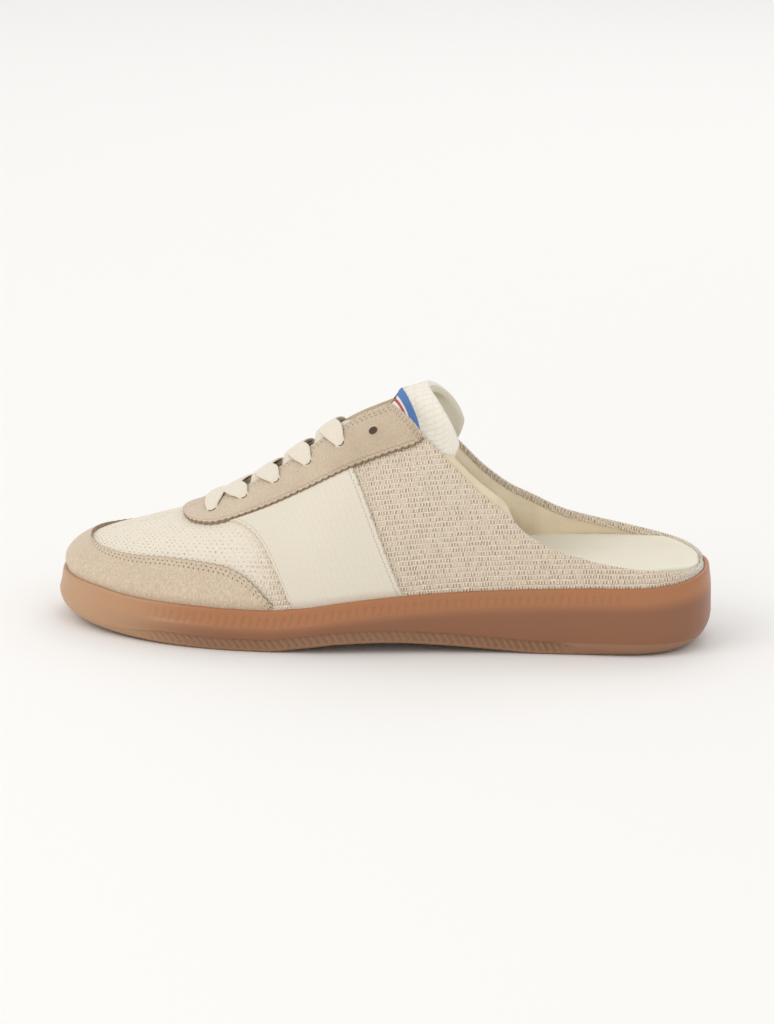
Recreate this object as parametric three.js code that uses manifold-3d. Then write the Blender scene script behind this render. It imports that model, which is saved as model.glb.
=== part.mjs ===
import * as THREE from 'three';
import { mergeVertices } from 'three/addons/utils/BufferGeometryUtils.js';
import Module from 'manifold-3d';

// Sneaker mule, left shoe, in millimetres. +Z is up, the toe points along -X and the outer side of
// the foot lies along -Y. The origin is on the ground, under the middle of the sole.

// Main sizes of the sole and of the last
const SOLE_LENGTH = 268;
const BALL_WIDTH = 96;
const HEEL_HEIGHT = 28;
const INSTEP_HEIGHT = 95.5;
const COLLAR_HEIGHT = 88;
const TOE_SPRING = 3.4;
const ARCH_RISE = 4.6;

// Round ends of the sole's outline, and how far the tip of the toe swings to the inner side
const TOE_ROUND = 72;
const HEEL_ROUND = 38;
const END_POWER = 2.4;
const TOE_SWING = 5;

// Side wall, rim and cup of the sole
const RIM_SETBACK = 1.8;
const RIM_WIDTH = 1.6;
const CUP_DEPTH = 7.2;
const BELLY_HEIGHT = 13;
const RIB_PITCH = 3;
const RIB_DEPTH = 0.7;
const RIB_FOOT = 1;
const RIB_TALL = 4.4;
const RIB_SLANT = 2.6;
const RIB_FRONT = 0.13;
const RIB_REAR = 0.78;
const LEDGE = 0.8;
const FLUTE_PITCH = 3.3;
const FLUTE_DEPTH = 0.45;
const FLUTE_TALL = 4;
const FLUTE_DROP = 2.6;
const FLUTE_FRONT = 0.14;
const FLUTE_REAR = 0.89;

// Tread under the sole
const TREAD_DEPTH = 1.4;
const TREAD_RIM = 6;
const BAR_LENGTH = 6;
const BAR_PITCH = 10;
const BAR_SETBACK = 4;
const BAR_ROOT = 0.5;

// Upper, overlays, tongue, insole and laces
const GAP = 0.3;
const UPPER_WALL = 2;
const OVERLAY_GAP = 0.4;
const OVERLAY = 1.2;
const TOE_CROWN = 24;
const TOE_NOSE = 0.8;
const RIDGE_SWING = 4.5;
const THROAT_HALF = 7;
const TONGUE_THICK = 5;
const TONGUE_LIFT = 6.5;
const TONGUE_HEIGHT = 107;
const LABEL_THICK = 0.7;
const INSOLE_GAP = 0.9;
const INSOLE_BALL = 4.6;
const INSOLE_HEEL = 10.6;
const INSOLE_CUP = 3.4;
const INSOLE_CUP_WIDTH = 11;
const INSOLE_ROUND = 1.5;
const INSOLE_EDGE = 1;
const EYELETS = 6;
const LACED_ROWS = 5;
const EYELET_RADIUS = 1.45;
const EYELET_SETBACK = 9;
const LACE_WIDTH = 8;
const LACE_THICK = 1.1;
const LACE_TIP = 4.5;
const LACE_TAPER = 0.31;
const LACE_START = 0.3;
const PIN_LENGTH = 12;
const SADDLE_CLEAR = 0.012;
const HAIR = 0.01;

// Half widths of the sole's outline, as shares of BALL_WIDTH, before its ends are rounded
const OUTLINE = [
  { at: 0.00, outer: 0.400, inner: 0.420 },
  { at: 0.10, outer: 0.430, inner: 0.455 },
  { at: 0.20, outer: 0.475, inner: 0.485 },
  { at: 0.30, outer: 0.502, inner: 0.490 },
  { at: 0.40, outer: 0.505, inner: 0.460 },
  { at: 0.50, outer: 0.470, inner: 0.405 },
  { at: 0.60, outer: 0.420, inner: 0.360 },
  { at: 0.70, outer: 0.380, inner: 0.343 },
  { at: 0.80, outer: 0.360, inner: 0.347 },
  { at: 0.90, outer: 0.352, inner: 0.350 },
  { at: 1.00, outer: 0.350, inner: 0.350 },
];

// Underside and top edge of the sole: spring as a share of TOE_SPRING, arch of ARCH_RISE, edge and
// the radius of the lower corner of HEEL_HEIGHT; round is 1 where that corner is a plain arc
const SOLE_SIDE = [
  { at: 0.00, spring: 1.00, arch: 0.00, edge: 0.725, corner: 0.30, round: 1 },
  { at: 0.06, spring: 0.55, arch: 0.00, edge: 0.700, corner: 0.21, round: 1 },
  { at: 0.12, spring: 0.30, arch: 0.00, edge: 0.646, corner: 0.15, round: 0.6 },
  { at: 0.18, spring: 0.15, arch: 0.00, edge: 0.636, corner: 0.12, round: 0 },
  { at: 0.24, spring: 0.03, arch: 0.00, edge: 0.628, corner: 0.11, round: 0 },
  { at: 0.27, spring: 0.00, arch: 0.00, edge: 0.620, corner: 0.11, round: 0 },
  { at: 0.33, spring: 0.00, arch: 0.00, edge: 0.618, corner: 0.11, round: 0 },
  { at: 0.385, spring: 0.00, arch: 0.40, edge: 0.670, corner: 0.11, round: 0 },
  { at: 0.445, spring: 0.00, arch: 0.85, edge: 0.760, corner: 0.11, round: 0 },
  { at: 0.52, spring: 0.00, arch: 1.00, edge: 0.845, corner: 0.11, round: 0 },
  { at: 0.60, spring: 0.00, arch: 0.75, edge: 0.905, corner: 0.11, round: 0 },
  { at: 0.69, spring: 0.00, arch: 0.28, edge: 0.945, corner: 0.11, round: 0 },
  { at: 0.76, spring: 0.00, arch: 0.00, edge: 0.972, corner: 0.13, round: 0 },
  { at: 0.82, spring: 0.00, arch: 0.00, edge: 0.993, corner: 0.17, round: 0.8 },
  { at: 0.90, spring: 0.00, arch: 0.00, edge: 1.012, corner: 0.22, round: 1 },
  { at: 0.955, spring: 0.00, arch: 0.00, edge: 1.055, corner: 0.31, round: 1 },
  { at: 1.00, spring: 0.00, arch: 0.00, edge: 1.130, corner: 0.46, round: 1 },
];

// Ridge of the last: height as a share of INSTEP_HEIGHT, swing of RIDGE_SWING, and the power of the
// section's arch (under 1 is square, over 1 is sharp)
const RIDGE = [
  { at: 0.00, height: 0.340, swing: 1.0, power: 0.80 },
  { at: 0.06, height: 0.362, swing: 1.0, power: 0.82 },
  { at: 0.10, height: 0.388, swing: 1.0, power: 0.85 },
  { at: 0.14, height: 0.420, swing: 1.0, power: 0.88 },
  { at: 0.20, height: 0.472, swing: 1.0, power: 0.93 },
  { at: 0.26, height: 0.545, swing: 1.0, power: 1.02 },
  { at: 0.32, height: 0.645, swing: 1.0, power: 1.10 },
  { at: 0.38, height: 0.770, swing: 0.9, power: 1.20 },
  { at: 0.43, height: 0.880, swing: 0.7, power: 1.22 },
  { at: 0.47, height: 0.950, swing: 0.5, power: 1.22 },
  { at: 0.51, height: 0.998, swing: 0.3, power: 1.16 },
  { at: 0.56, height: 1.046, swing: 0.1, power: 1.04 },
  { at: 0.64, height: 1.130, swing: 0.0, power: 1.00 },
  { at: 0.75, height: 1.170, swing: 0.0, power: 1.00 },
  { at: 1.00, height: 1.170, swing: 0.0, power: 1.00 },
];

// Height of the topline on each side, as a share of COLLAR_HEIGHT
const TOPLINE = [
  { at: 0.500, outer: 1.075, inner: 1.075 },
  { at: 0.524, outer: 1.050, inner: 1.050 },
  { at: 0.540, outer: 1.023, inner: 1.020 },
  { at: 0.560, outer: 0.968, inner: 0.960 },
  { at: 0.580, outer: 0.915, inner: 0.900 },
  { at: 0.601, outer: 0.862, inner: 0.838 },
  { at: 0.645, outer: 0.742, inner: 0.704 },
  { at: 0.687, outer: 0.643, inner: 0.612 },
  { at: 0.720, outer: 0.545, inner: 0.566 },
  { at: 0.768, outer: 0.466, inner: 0.500 },
  { at: 0.800, outer: 0.440, inner: 0.474 },
  { at: 0.830, outer: 0.416, inner: 0.455 },
  { at: 0.888, outer: 0.390, inner: 0.420 },
  { at: 0.925, outer: 0.379, inner: 0.402 },
  { at: 0.955, outer: 0.372, inner: 0.390 },
  { at: 1.000, outer: 0.362, inner: 0.362 },
];

// Upper edge of the toe cap and lower edge of the eyestay, as shares of the way from rim to ridge
const CAP_EDGE = [
  { at: 0.050, outer: 1.00, inner: 1.00 },
  { at: 0.056, outer: 0.80, inner: 0.80 },
  { at: 0.080, outer: 0.56, inner: 0.56 },
  { at: 0.130, outer: 0.44, inner: 0.45 },
  { at: 0.180, outer: 0.40, inner: 0.41 },
  { at: 0.230, outer: 0.345, inner: 0.36 },
  { at: 0.270, outer: 0.295, inner: 0.31 },
  { at: 0.300, outer: 0.225, inner: 0.24 },
  { at: 0.345, outer: 0.05, inner: 0.06 },
];
const EYESTAY_EDGE = [
  { at: 0.190, outer: 1.00, inner: 1.00 },
  { at: 0.196, outer: 0.86, inner: 0.86 },
  { at: 0.215, outer: 0.725, inner: 0.725 },
  { at: 0.250, outer: 0.635, inner: 0.635 },
  { at: 0.300, outer: 0.61, inner: 0.61 },
  { at: 0.370, outer: 0.59, inner: 0.59 },
  { at: 0.440, outer: 0.575, inner: 0.575 },
  { at: 0.500, outer: 0.575, inner: 0.575 },
  { at: 0.562, outer: 0.57, inner: 0.57 },
];

// Edges of the saddle panel from the rim to the eyestay: front and rear as shares of the length
const SADDLE = [
  { rise: 0, front: 0.388, rear: 0.575 },
  { rise: 1, front: 0.268, rear: 0.455 },
];

// Side edges and top edge of the tongue, as shares of TONGUE_HEIGHT
const TONGUE_EDGE = [
  { at: 0.225, low: 0.380, high: 1.20 },
  { at: 0.300, low: 0.420, high: 1.20 },
  { at: 0.400, low: 0.550, high: 1.20 },
  { at: 0.500, low: 0.670, high: 1.20 },
  { at: 0.550, low: 0.680, high: 1.00 },
  { at: 0.574, low: 0.680, high: 0.94 },
  { at: 0.592, low: 0.690, high: 0.88 },
  { at: 0.606, low: 0.740, high: 0.83 },
  { at: 0.613, low: 0.780, high: 0.79 },
];

// Places along the shoe, as shares of its length: the throat, the eyelets, the label, where the
// tongue leaves the eyestay, and where the insole thickens, is cupped and is rounded off
const THROAT_FRONT = 0.240;
const THROAT_OPENS = 0.02;
const FIRST_EYELET = 0.242;
const EYELET_STEP = 0.0486;
const LABEL_FRONT = 0.520;
const LABEL_REAR = 0.549;
const TONGUE_LEAVES = 0.495;
const TONGUE_FREE = 0.556;
const INSOLE_RISES = 0.4;
const INSOLE_FULL = 0.75;
const INSOLE_CUPPED = 0.66;
const INSOLE_ENDS = 0.92;

// Stations that a sheet's rows must meet, where an edge of the upper turns
const THROAT_STATIONS = [THROAT_FRONT, 0.246, 0.26];
const COLLAR_STATIONS = [0.5, 0.524, 0.54, 0.56];
const TOPLINE_STATIONS = [0.58, 0.601];
const CAP_STATIONS = [0.053, 0.056, 0.064, 0.250, 0.272, 0.285, 0.300, 0.322];
const LOBE_STATIONS = [0.193, 0.196, 0.203];

const COLOURS = {
  gum: 0xa8744d,
  suede: 0xcebca4,
  knit: 0xdccdb4,
  leather: 0xe1d9c8,
  tongue: 0xeae5d6,
  footbed: 0xdfd9c6,
  lace: 0xe6d6c0,
  label: 0x3f6fb5,
};

const wasm = await Module();
wasm.setup();

function smooth(value) {
  const t = Math.min(1, Math.max(0, value));
  return t * t * (3 - 2 * t);
}

// Slope of a table's column at one of its rows, flat at a peak or a dip
function slopeAt(table, column, row) {
  const rise = (i) => (table[i + 1][column] - table[i][column]) / (table[i + 1].at - table[i].at);
  if (row === 0) return rise(0);
  if (row === table.length - 1) return rise(row - 1);
  const before = rise(row - 1);
  const after = rise(row);
  if (before * after <= 0) return 0;
  return (2 * before * after) / (before + after);
}

// One column of a table at a share of the length, on a smooth curve through its rows
function along(table, column, at) {
  const last = table.length - 1;
  const place = Math.min(table[last].at, Math.max(table[0].at, at));
  let row = 0;
  while (row < last - 1 && place > table[row + 1].at) row += 1;
  const step = table[row + 1].at - table[row].at;
  const t = (place - table[row].at) / step;
  const turn = t * t * (3 - 2 * t);
  const value = table[row][column] * (1 - turn) + table[row + 1][column] * turn;
  const leave = slopeAt(table, column, row) * t * (1 - t) * (1 - t);
  const arrive = slopeAt(table, column, row + 1) * t * t * (1 - t);
  return value + step * (leave - arrive);
}

function shareOf(x) {
  return x / SOLE_LENGTH + 0.5;
}

// Rounds an end off: 0 at the tip, and 1 from one length of rounding on
function rounding(distance, length) {
  const left = Math.min(1, Math.max(0, 1 - distance / length));
  return Math.pow(1 - Math.pow(left, END_POWER), 1 / END_POWER);
}

// Plan outline of the shoe, set in from the sole's widest line. A turn of 0 is the tip of the toe,
// PI is the back of the heel, and the outer side of the foot lies between them.
function plan(turn, inset) {
  const half = SOLE_LENGTH / 2 - inset;
  const x = -half * Math.cos(turn);
  const at = shareOf(x);
  const outer = Math.sin(turn) > 0;
  const width = BALL_WIDTH * along(OUTLINE, outer ? 'outer' : 'inner', at) - inset;
  const toe = rounding(x + half, TOE_ROUND - inset);
  const heel = rounding(half - x, HEEL_ROUND - inset);
  const y = (outer ? -width : width) * toe * heel + TOE_SWING * (1 - toe);
  return { x, y, at };
}

function ground(at) {
  return TOE_SPRING * along(SOLE_SIDE, 'spring', at) + ARCH_RISE * along(SOLE_SIDE, 'arch', at);
}

function rim(at) {
  return HEEL_HEIGHT * along(SOLE_SIDE, 'edge', at);
}

function cupFloor(at) {
  return rim(at) - CUP_DEPTH;
}

const UPPER_INSET = RIM_SETBACK + RIM_WIDTH + GAP;

// Section of the last at one turn: its foot on the rim and its ridge
function section(turn) {
  const foot = plan(turn, UPPER_INSET);
  const tip = foot.x + SOLE_LENGTH / 2 - UPPER_INSET;
  const ridge = INSTEP_HEIGHT * along(RIDGE, 'height', foot.at);
  const base = rim(foot.at);
  return {
    x: foot.x,
    at: foot.at,
    footY: foot.y,
    ridgeY: RIDGE_SWING * along(RIDGE, 'swing', foot.at),
    base,
    tall: (ridge - base) * rounding(tip + TOE_NOSE, TOE_CROWN),
    power: along(RIDGE, 'power', foot.at),
  };
}

// Point on the last. A rise of 0 is level with the sole's rim, 1 is the ridge, and from 0 down to -1
// the wall stands in the cup of the sole.
function lastPoint(turn, rise) {
  const cut = section(turn);
  if (rise <= 0) {
    const foot = cupFloor(cut.at) + GAP;
    return new THREE.Vector3(cut.x, cut.footY, cut.base + rise * (cut.base - foot));
  }
  const angle = (Math.min(rise, 1) * Math.PI) / 2;
  const spread = Math.pow(Math.max(0, Math.cos(angle)), cut.power);
  const y = cut.ridgeY + (cut.footY - cut.ridgeY) * spread;
  return new THREE.Vector3(cut.x, y, cut.base + cut.tall * Math.pow(Math.sin(angle), cut.power));
}

// Outward normal of the last, or a zero vector where its surface closes to a point
function lastNormal(turn, rise) {
  const step = 0.004;
  const high = Math.min(rise + step, 1);
  const forward = lastPoint(turn + step, rise).sub(lastPoint(turn - step, rise));
  const upward = lastPoint(turn, high).sub(lastPoint(turn, high - 2 * step));
  const normal = forward.cross(upward);
  return normal.lengthSq() < 1e-12 ? normal.set(0, 0, 0) : normal.normalize();
}

// Rise at which a section of the last reaches a height
function riseAtHeight(turn, z) {
  const cut = section(turn);
  const share = Math.min(1, Math.max(0, (z - cut.base) / cut.tall));
  return (Math.asin(Math.pow(share, 1 / cut.power)) * 2) / Math.PI;
}

// Rise at which a section of the last is a distance to the side of its ridge
function riseAtSide(turn, distance) {
  const cut = section(turn);
  const width = Math.abs(cut.footY - cut.ridgeY);
  const share = Math.min(1, distance / Math.max(width, distance));
  return (Math.acos(Math.pow(share, 1 / cut.power)) * 2) / Math.PI;
}

function sideName(turn) {
  return Math.sin(turn) > 0 ? 'outer' : 'inner';
}

function turnAt(at) {
  const half = SOLE_LENGTH / 2 - UPPER_INSET;
  const x = (at - 0.5) * SOLE_LENGTH;
  return Math.acos(THREE.MathUtils.clamp(-x / half, -1, 1));
}

// Turns from one share of the length to another, with extra ones at places that must be met
function stations(from, to, count, extra = []) {
  const first = turnAt(from);
  const last = turnAt(to);
  const even = Array.from({ length: count + 1 }, (_, i) => first + ((last - first) * i) / count);
  const wanted = extra.map(turnAt);
  const near = (turn) => wanted.some((other) => Math.abs(other - turn) < (last - first) / count / 2.5);
  const kept = even.filter((turn, i) => i === 0 || i === count || !near(turn));
  return kept.concat(wanted).sort((a, b) => a - b);
}

// Open sheet of points with normals. Points in one cell of a fine grid are joined; the grid is moved
// by a third of a cell, so that round numbers don't lie on its borders.
const WELD = 0.001;

function newSheet() {
  return { points: [], normals: [], faces: [], places: new Map() };
}

function addPoint(sheet, position, normal) {
  const key = position.toArray().map((value) => Math.floor(value / WELD + 1 / 3)).join(' ');
  if (!sheet.places.has(key)) {
    sheet.places.set(key, sheet.points.length);
    sheet.points.push(position);
    sheet.normals.push(new THREE.Vector3());
  }
  const index = sheet.places.get(key);
  sheet.normals[index].add(normal);
  return index;
}

function addFace(sheet, a, b, c) {
  if (a !== b && b !== c && c !== a) sheet.faces.push([a, b, c]);
}

// Rows of { turn, rise } become a strip of the last's surface
function addRows(sheet, rows, flipped) {
  const indices = rows.map((row) => row.map(
    ({ turn, rise }) => addPoint(sheet, lastPoint(turn, rise), lastNormal(turn, rise)),
  ));
  for (let i = 0; i + 1 < rows.length; i += 1) {
    for (let j = 0; j + 1 < rows[i].length; j += 1) {
      const a = indices[i][j];
      const b = indices[i + 1][j];
      const c = indices[i + 1][j + 1];
      const d = indices[i][j + 1];
      if (flipped) {
        addFace(sheet, a, c, b);
        addFace(sheet, a, d, c);
      } else {
        addFace(sheet, a, b, c);
        addFace(sheet, a, c, d);
      }
    }
  }
}

// Both sides of a sheet over the last, from its low edge to its high edge at every station
function bothSides(turns, low, high, columns) {
  const sheet = newSheet();
  for (const inner of [false, true]) {
    const rows = turns.map((outerTurn) => {
      const turn = inner ? 2 * Math.PI - outerTurn : outerTurn;
      const from = low(turn);
      const to = high(turn);
      return Array.from({ length: columns + 1 }, (_, j) => (
        { turn, rise: from + ((to - from) * j) / columns }
      ));
    });
    addRows(sheet, rows, inner);
  }
  return sheet;
}

function geometryOf(points, faces) {
  const geometry = new THREE.BufferGeometry();
  const positions = points.flatMap((point) => point.toArray());
  geometry.setAttribute('position', new THREE.Float32BufferAttribute(positions, 3));
  geometry.setIndex(faces.flat());
  return geometry;
}

// Closed solid between two offsets of a sheet; each offset is a number or a function of the place
function thicken(sheet, inside, outside) {
  const count = sheet.points.length;
  const offset = (amount) => sheet.points.map((point, i) => {
    const length = typeof amount === 'function' ? amount(point) : amount;
    return point.clone().addScaledVector(sheet.normals[i].clone().normalize(), length);
  });
  const faces = sheet.faces.map((face) => [...face]);
  const open = new Set();
  for (const [a, b, c] of sheet.faces) {
    faces.push([a + count, c + count, b + count]);
    for (const [from, to] of [[a, b], [b, c], [c, a]]) {
      if (!open.delete(`${to} ${from}`)) open.add(`${from} ${to}`);
    }
  }
  for (const edge of open) {
    const [a, b] = edge.split(' ').map(Number);
    faces.push([b, a, a + count], [b, a + count, b + count]);
  }
  return geometryOf([...offset(outside), ...offset(inside)], faces);
}

function toSolid(geometry) {
  const bare = geometry.clone();
  bare.deleteAttribute('normal');
  bare.deleteAttribute('uv');
  const merged = mergeVertices(bare, 1e-4);
  return new wasm.Manifold(new wasm.Mesh({
    numProp: 3,
    tolerance: 0.01,
    vertProperties: new Float32Array(merged.attributes.position.array),
    triVerts: new Uint32Array(merged.index.array),
  }));
}

function toGeometry(solid) {
  const mesh = solid.getMesh();
  const geometry = new THREE.BufferGeometry();
  geometry.setAttribute('position', new THREE.BufferAttribute(mesh.vertProperties, 3));
  geometry.setIndex(new THREE.BufferAttribute(mesh.triVerts, 1));
  return geometry;
}

// Eyelets: where they are on the last, and a pin through each
function eyelet(row, inner) {
  const outerTurn = turnAt(FIRST_EYELET + EYELET_STEP * row);
  const turn = inner ? 2 * Math.PI - outerTurn : outerTurn;
  const rise = riseAtSide(turn, THROAT_HALF + EYELET_SETBACK);
  return { turn, position: lastPoint(turn, rise), normal: lastNormal(turn, rise) };
}

function withEyelets(geometry) {
  let solid = toSolid(geometry);
  for (const inner of [false, true]) {
    for (let row = 0; row < EYELETS; row += 1) {
      const { position, normal } = eyelet(row, inner);
      const pin = new THREE.CylinderGeometry(EYELET_RADIUS, EYELET_RADIUS, PIN_LENGTH, 8);
      const up = new THREE.Vector3(0, 1, 0);
      pin.applyQuaternion(new THREE.Quaternion().setFromUnitVectors(up, normal));
      pin.translate(position.x, position.y, position.z);
      solid = solid.subtract(toSolid(pin));
    }
  }
  return toGeometry(solid);
}

// Cup sole. Each ring goes once round the shoe; ribs and flutes are rings that step in and out.
const RING_STEPS = 64;

function evenRing(inset, height) {
  return Array.from({ length: RING_STEPS }, (_, i) => {
    const turn = (2 * Math.PI * i) / RING_STEPS;
    const { x, y, at } = plan(turn, inset(plan(turn, 0).at));
    return { turn, point: new THREE.Vector3(x, y, height(at)) };
  });
}

// Ring with a groove at every pitch between two shares of the length, on both sides of the shoe
function groovedRing(inset, height, pitch, depth, from, to, slant) {
  const half = SOLE_LENGTH / 2;
  const steps = Math.round(((to - from) * SOLE_LENGTH) / pitch) * 2;
  const turns = Array.from({ length: steps + 1 }, (_, i) => {
    const x = (from - 0.5) * SOLE_LENGTH + (i * pitch) / 2;
    return { turn: Math.acos(-(x + slant) / half), groove: i % 2 === 1 };
  });
  const first = Math.acos(-((from - 0.5) * SOLE_LENGTH - pitch) / half);
  const last = Math.acos(-((to - 0.5) * SOLE_LENGTH + pitch + slant) / half);
  const plain = Array.from({ length: RING_STEPS / 2 + 1 }, (_, i) => (
    { turn: (2 * Math.PI * i) / RING_STEPS, groove: false }
  ));
  const outer = [
    ...plain.filter(({ turn }) => turn < first),
    ...turns,
    ...plain.filter(({ turn }) => turn > last),
  ];
  const inner = outer.slice(1, -1).reverse().map(({ turn, groove }) => (
    { turn: 2 * Math.PI - turn, groove }
  ));
  return [...outer, ...inner].map(({ turn, groove }) => {
    const { x, y, at } = plan(turn, inset(plan(turn, 0).at) + (groove ? depth : 0));
    return { turn, point: new THREE.Vector3(x, y, height(at)) };
  });
}

// Faces between two rings; rings of one length are joined point to point
function bridge(lower, upper, lowerStart, upperStart, faces) {
  const a = (i) => lowerStart + (i % lower.length);
  const b = (i) => upperStart + (i % upper.length);
  if (lower.length === upper.length) {
    for (let i = 0; i < lower.length; i += 1) {
      faces.push([a(i), a(i + 1), b(i + 1)], [a(i), b(i + 1), b(i)]);
    }
    return;
  }
  const turnOf = (ring, i) => (i < ring.length ? ring[i].turn : 2 * Math.PI);
  let i = 0;
  let j = 0;
  while (i < lower.length || j < upper.length) {
    const lowerFirst = turnOf(lower, i + 1) <= turnOf(upper, j + 1);
    if (j >= upper.length || (i < lower.length && lowerFirst)) {
      faces.push([a(i), a(i + 1), b(j)]);
      i += 1;
    } else {
      faces.push([a(i), b(j + 1), b(j)]);
      j += 1;
    }
  }
}

// Flat faces across an even ring, looking up or down
function cap(start, upward, faces) {
  const last = RING_STEPS / 2;
  const add = (a, b, c) => faces.push(upward ? [a, b, c] : [a, c, b]);
  add(start, start + 1, start + RING_STEPS - 1);
  for (let i = 1; i < last - 1; i += 1) {
    const other = start + RING_STEPS - i;
    add(start + i, start + i + 1, other - 1);
    add(start + i, other - 1, other);
  }
  add(start + last - 1, start + last, start + last + 1);
}

function solidOfRings(rings) {
  const faces = [];
  const starts = [];
  let count = 0;
  for (const ring of rings) {
    starts.push(count);
    count += ring.length;
  }
  cap(starts[0], false, faces);
  for (let i = 0; i + 1 < rings.length; i += 1) {
    bridge(rings[i], rings[i + 1], starts[i], starts[i + 1], faces);
  }
  cap(starts[rings.length - 1], true, faces);
  return geometryOf(rings.flat().map(({ point }) => point), faces);
}

// Inset and height on the lower corner: a ribbed step along the sides, a plain arc at the ends
function corner(angle, ribInset, ribHeight) {
  const radians = THREE.MathUtils.degToRad(angle);
  const radius = (at) => HEEL_HEIGHT * along(SOLE_SIDE, 'corner', at);
  const round = (at) => along(SOLE_SIDE, 'round', at);
  return {
    inset: (at) => ribInset * (1 - round(at)) + radius(at) * (1 - Math.sin(radians)) * round(at),
    height: (at) => ground(at) + ribHeight * (1 - round(at))
      + radius(at) * (1 - Math.cos(radians)) * round(at),
  };
}

// Bar of the tread between two places along the sole
function treadBar(from, to) {
  const half = SOLE_LENGTH / 2;
  const points = [];
  for (const x of [from, to]) {
    const outerTurn = Math.acos(-x / half);
    const at = shareOf(x);
    const inset = HEEL_HEIGHT * along(SOLE_SIDE, 'corner', at) + TREAD_RIM + BAR_SETBACK;
    for (const turn of [outerTurn, 2 * Math.PI - outerTurn]) {
      const { y } = plan(turn, inset);
      points.push(new THREE.Vector3(x, y, ground(at)));
      points.push(new THREE.Vector3(x, y, ground(at) + TREAD_DEPTH + BAR_ROOT));
    }
  }
  const faces = [
    [0, 2, 6], [0, 6, 4], [1, 5, 7], [1, 7, 3], [0, 4, 5], [0, 5, 1],
    [2, 3, 7], [2, 7, 6], [0, 1, 3], [0, 3, 2], [4, 6, 7], [4, 7, 5],
  ];
  return geometryOf(points, faces);
}

const TREAD_CORNER = 0.11;
const TREAD_ZONES = [
  { from: 0.11, to: 0.42 },
  { from: 0.70, to: 0.90 },
];

function cupsole() {
  const contact = corner(0, HEEL_HEIGHT * TREAD_CORNER, 0);
  const ribLow = corner(28, 1.9, RIB_FOOT);
  const ribHigh = corner(52, 1.1, RIB_FOOT + RIB_TALL);
  const ledge = corner(70, 0.5, RIB_FOOT + RIB_TALL + LEDGE);
  const belly = corner(90, 0, BELLY_HEIGHT);
  const treadEdge = (at) => contact.inset(at) + TREAD_RIM;
  const bellyTop = (at) => rim(at) - FLUTE_DROP - FLUTE_TALL - 1;
  const flute = (share, drop) => groovedRing(
    () => RIM_SETBACK * share, (at) => rim(at) - drop, FLUTE_PITCH, FLUTE_DEPTH, FLUTE_FRONT, FLUTE_REAR, 0,
  );
  const rib = (edge, slant) => groovedRing(
    edge.inset, edge.height, RIB_PITCH, RIB_DEPTH, RIB_FRONT, RIB_REAR, slant,
  );
  const rings = [
    evenRing(treadEdge, (at) => ground(at) + TREAD_DEPTH),
    evenRing(treadEdge, ground),
    evenRing(contact.inset, ground),
    rib(ribLow, RIB_SLANT),
    rib(ribHigh, 0),
    evenRing(ledge.inset, ledge.height),
    evenRing(belly.inset, (at) => Math.min(belly.height(at), bellyTop(at))),
    flute(0.35, FLUTE_DROP + FLUTE_TALL),
    flute(0.65, FLUTE_DROP),
    evenRing(() => RIM_SETBACK, rim),
    evenRing(() => RIM_SETBACK + RIM_WIDTH, rim),
    evenRing(() => RIM_SETBACK + RIM_WIDTH, cupFloor),
  ];
  let solid = toSolid(solidOfRings(rings));
  for (const zone of TREAD_ZONES) {
    const start = (zone.from - 0.5) * SOLE_LENGTH;
    const bars = Math.floor(((zone.to - zone.from) * SOLE_LENGTH) / BAR_PITCH);
    for (let i = 0; i < bars; i += 1) {
      const from = start + i * BAR_PITCH;
      solid = solid.add(toSolid(treadBar(from, from + BAR_LENGTH)));
    }
  }
  return toGeometry(solid);
}

// Footbed in the cup: low at the ball, thick and cupped at the heel
function insole() {
  const inset = UPPER_INSET + UPPER_WALL + INSOLE_GAP;
  const between = (at, from, to) => smooth((at - from) / (to - from));
  const ending = (at) => between(at, INSOLE_ENDS, 1);
  const rising = (at) => between(at, INSOLE_RISES, INSOLE_FULL);
  const thick = (at) => INSOLE_BALL + (INSOLE_HEEL - INSOLE_BALL) * rising(at);
  const cupped = (at) => INSOLE_CUP * between(at, INSOLE_RISES, INSOLE_CUPPED) * (1 - ending(at));
  const top = (at) => cupFloor(at) + GAP + thick(at) - INSOLE_ROUND * ending(at);
  return solidOfRings([
    evenRing(() => inset, (at) => cupFloor(at) + GAP),
    evenRing(() => inset, (at) => top(at) + cupped(at) - INSOLE_EDGE),
    evenRing(() => inset + INSOLE_ROUND, (at) => top(at) + cupped(at)),
    evenRing(() => inset + INSOLE_CUP_WIDTH, top),
  ]);
}

function collarEdge(turn) {
  const { at } = section(turn);
  if (at < THROAT_FRONT) return 1;
  const opening = THROAT_HALF * smooth((at - THROAT_FRONT) / THROAT_OPENS) + HAIR;
  const top = riseAtHeight(turn, COLLAR_HEIGHT * along(TOPLINE, sideName(turn), at));
  return at < TOPLINE[0].at ? riseAtSide(turn, opening) : Math.min(riseAtSide(turn, opening), top);
}

// Stations of the upper, with extra ones where the throat and the collar turn
const UPPER_TURNS = stations(
  0, 1, RING_STEPS / 2, [...THROAT_STATIONS, ...COLLAR_STATIONS, ...TOPLINE_STATIONS],
);

function upper() {
  const turns = UPPER_TURNS;
  const wall = bothSides(turns, () => 0, collarEdge, 7);
  const skirt = bothSides(turns, () => -1, () => 0, 1);
  const sheet = newSheet();
  for (const half of [wall, skirt]) {
    const indices = half.points.map((point, i) => addPoint(sheet, point, half.normals[i]));
    for (const [a, b, c] of half.faces) addFace(sheet, indices[a], indices[b], indices[c]);
  }
  return withEyelets(thicken(sheet, -UPPER_WALL, 0));
}

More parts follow.
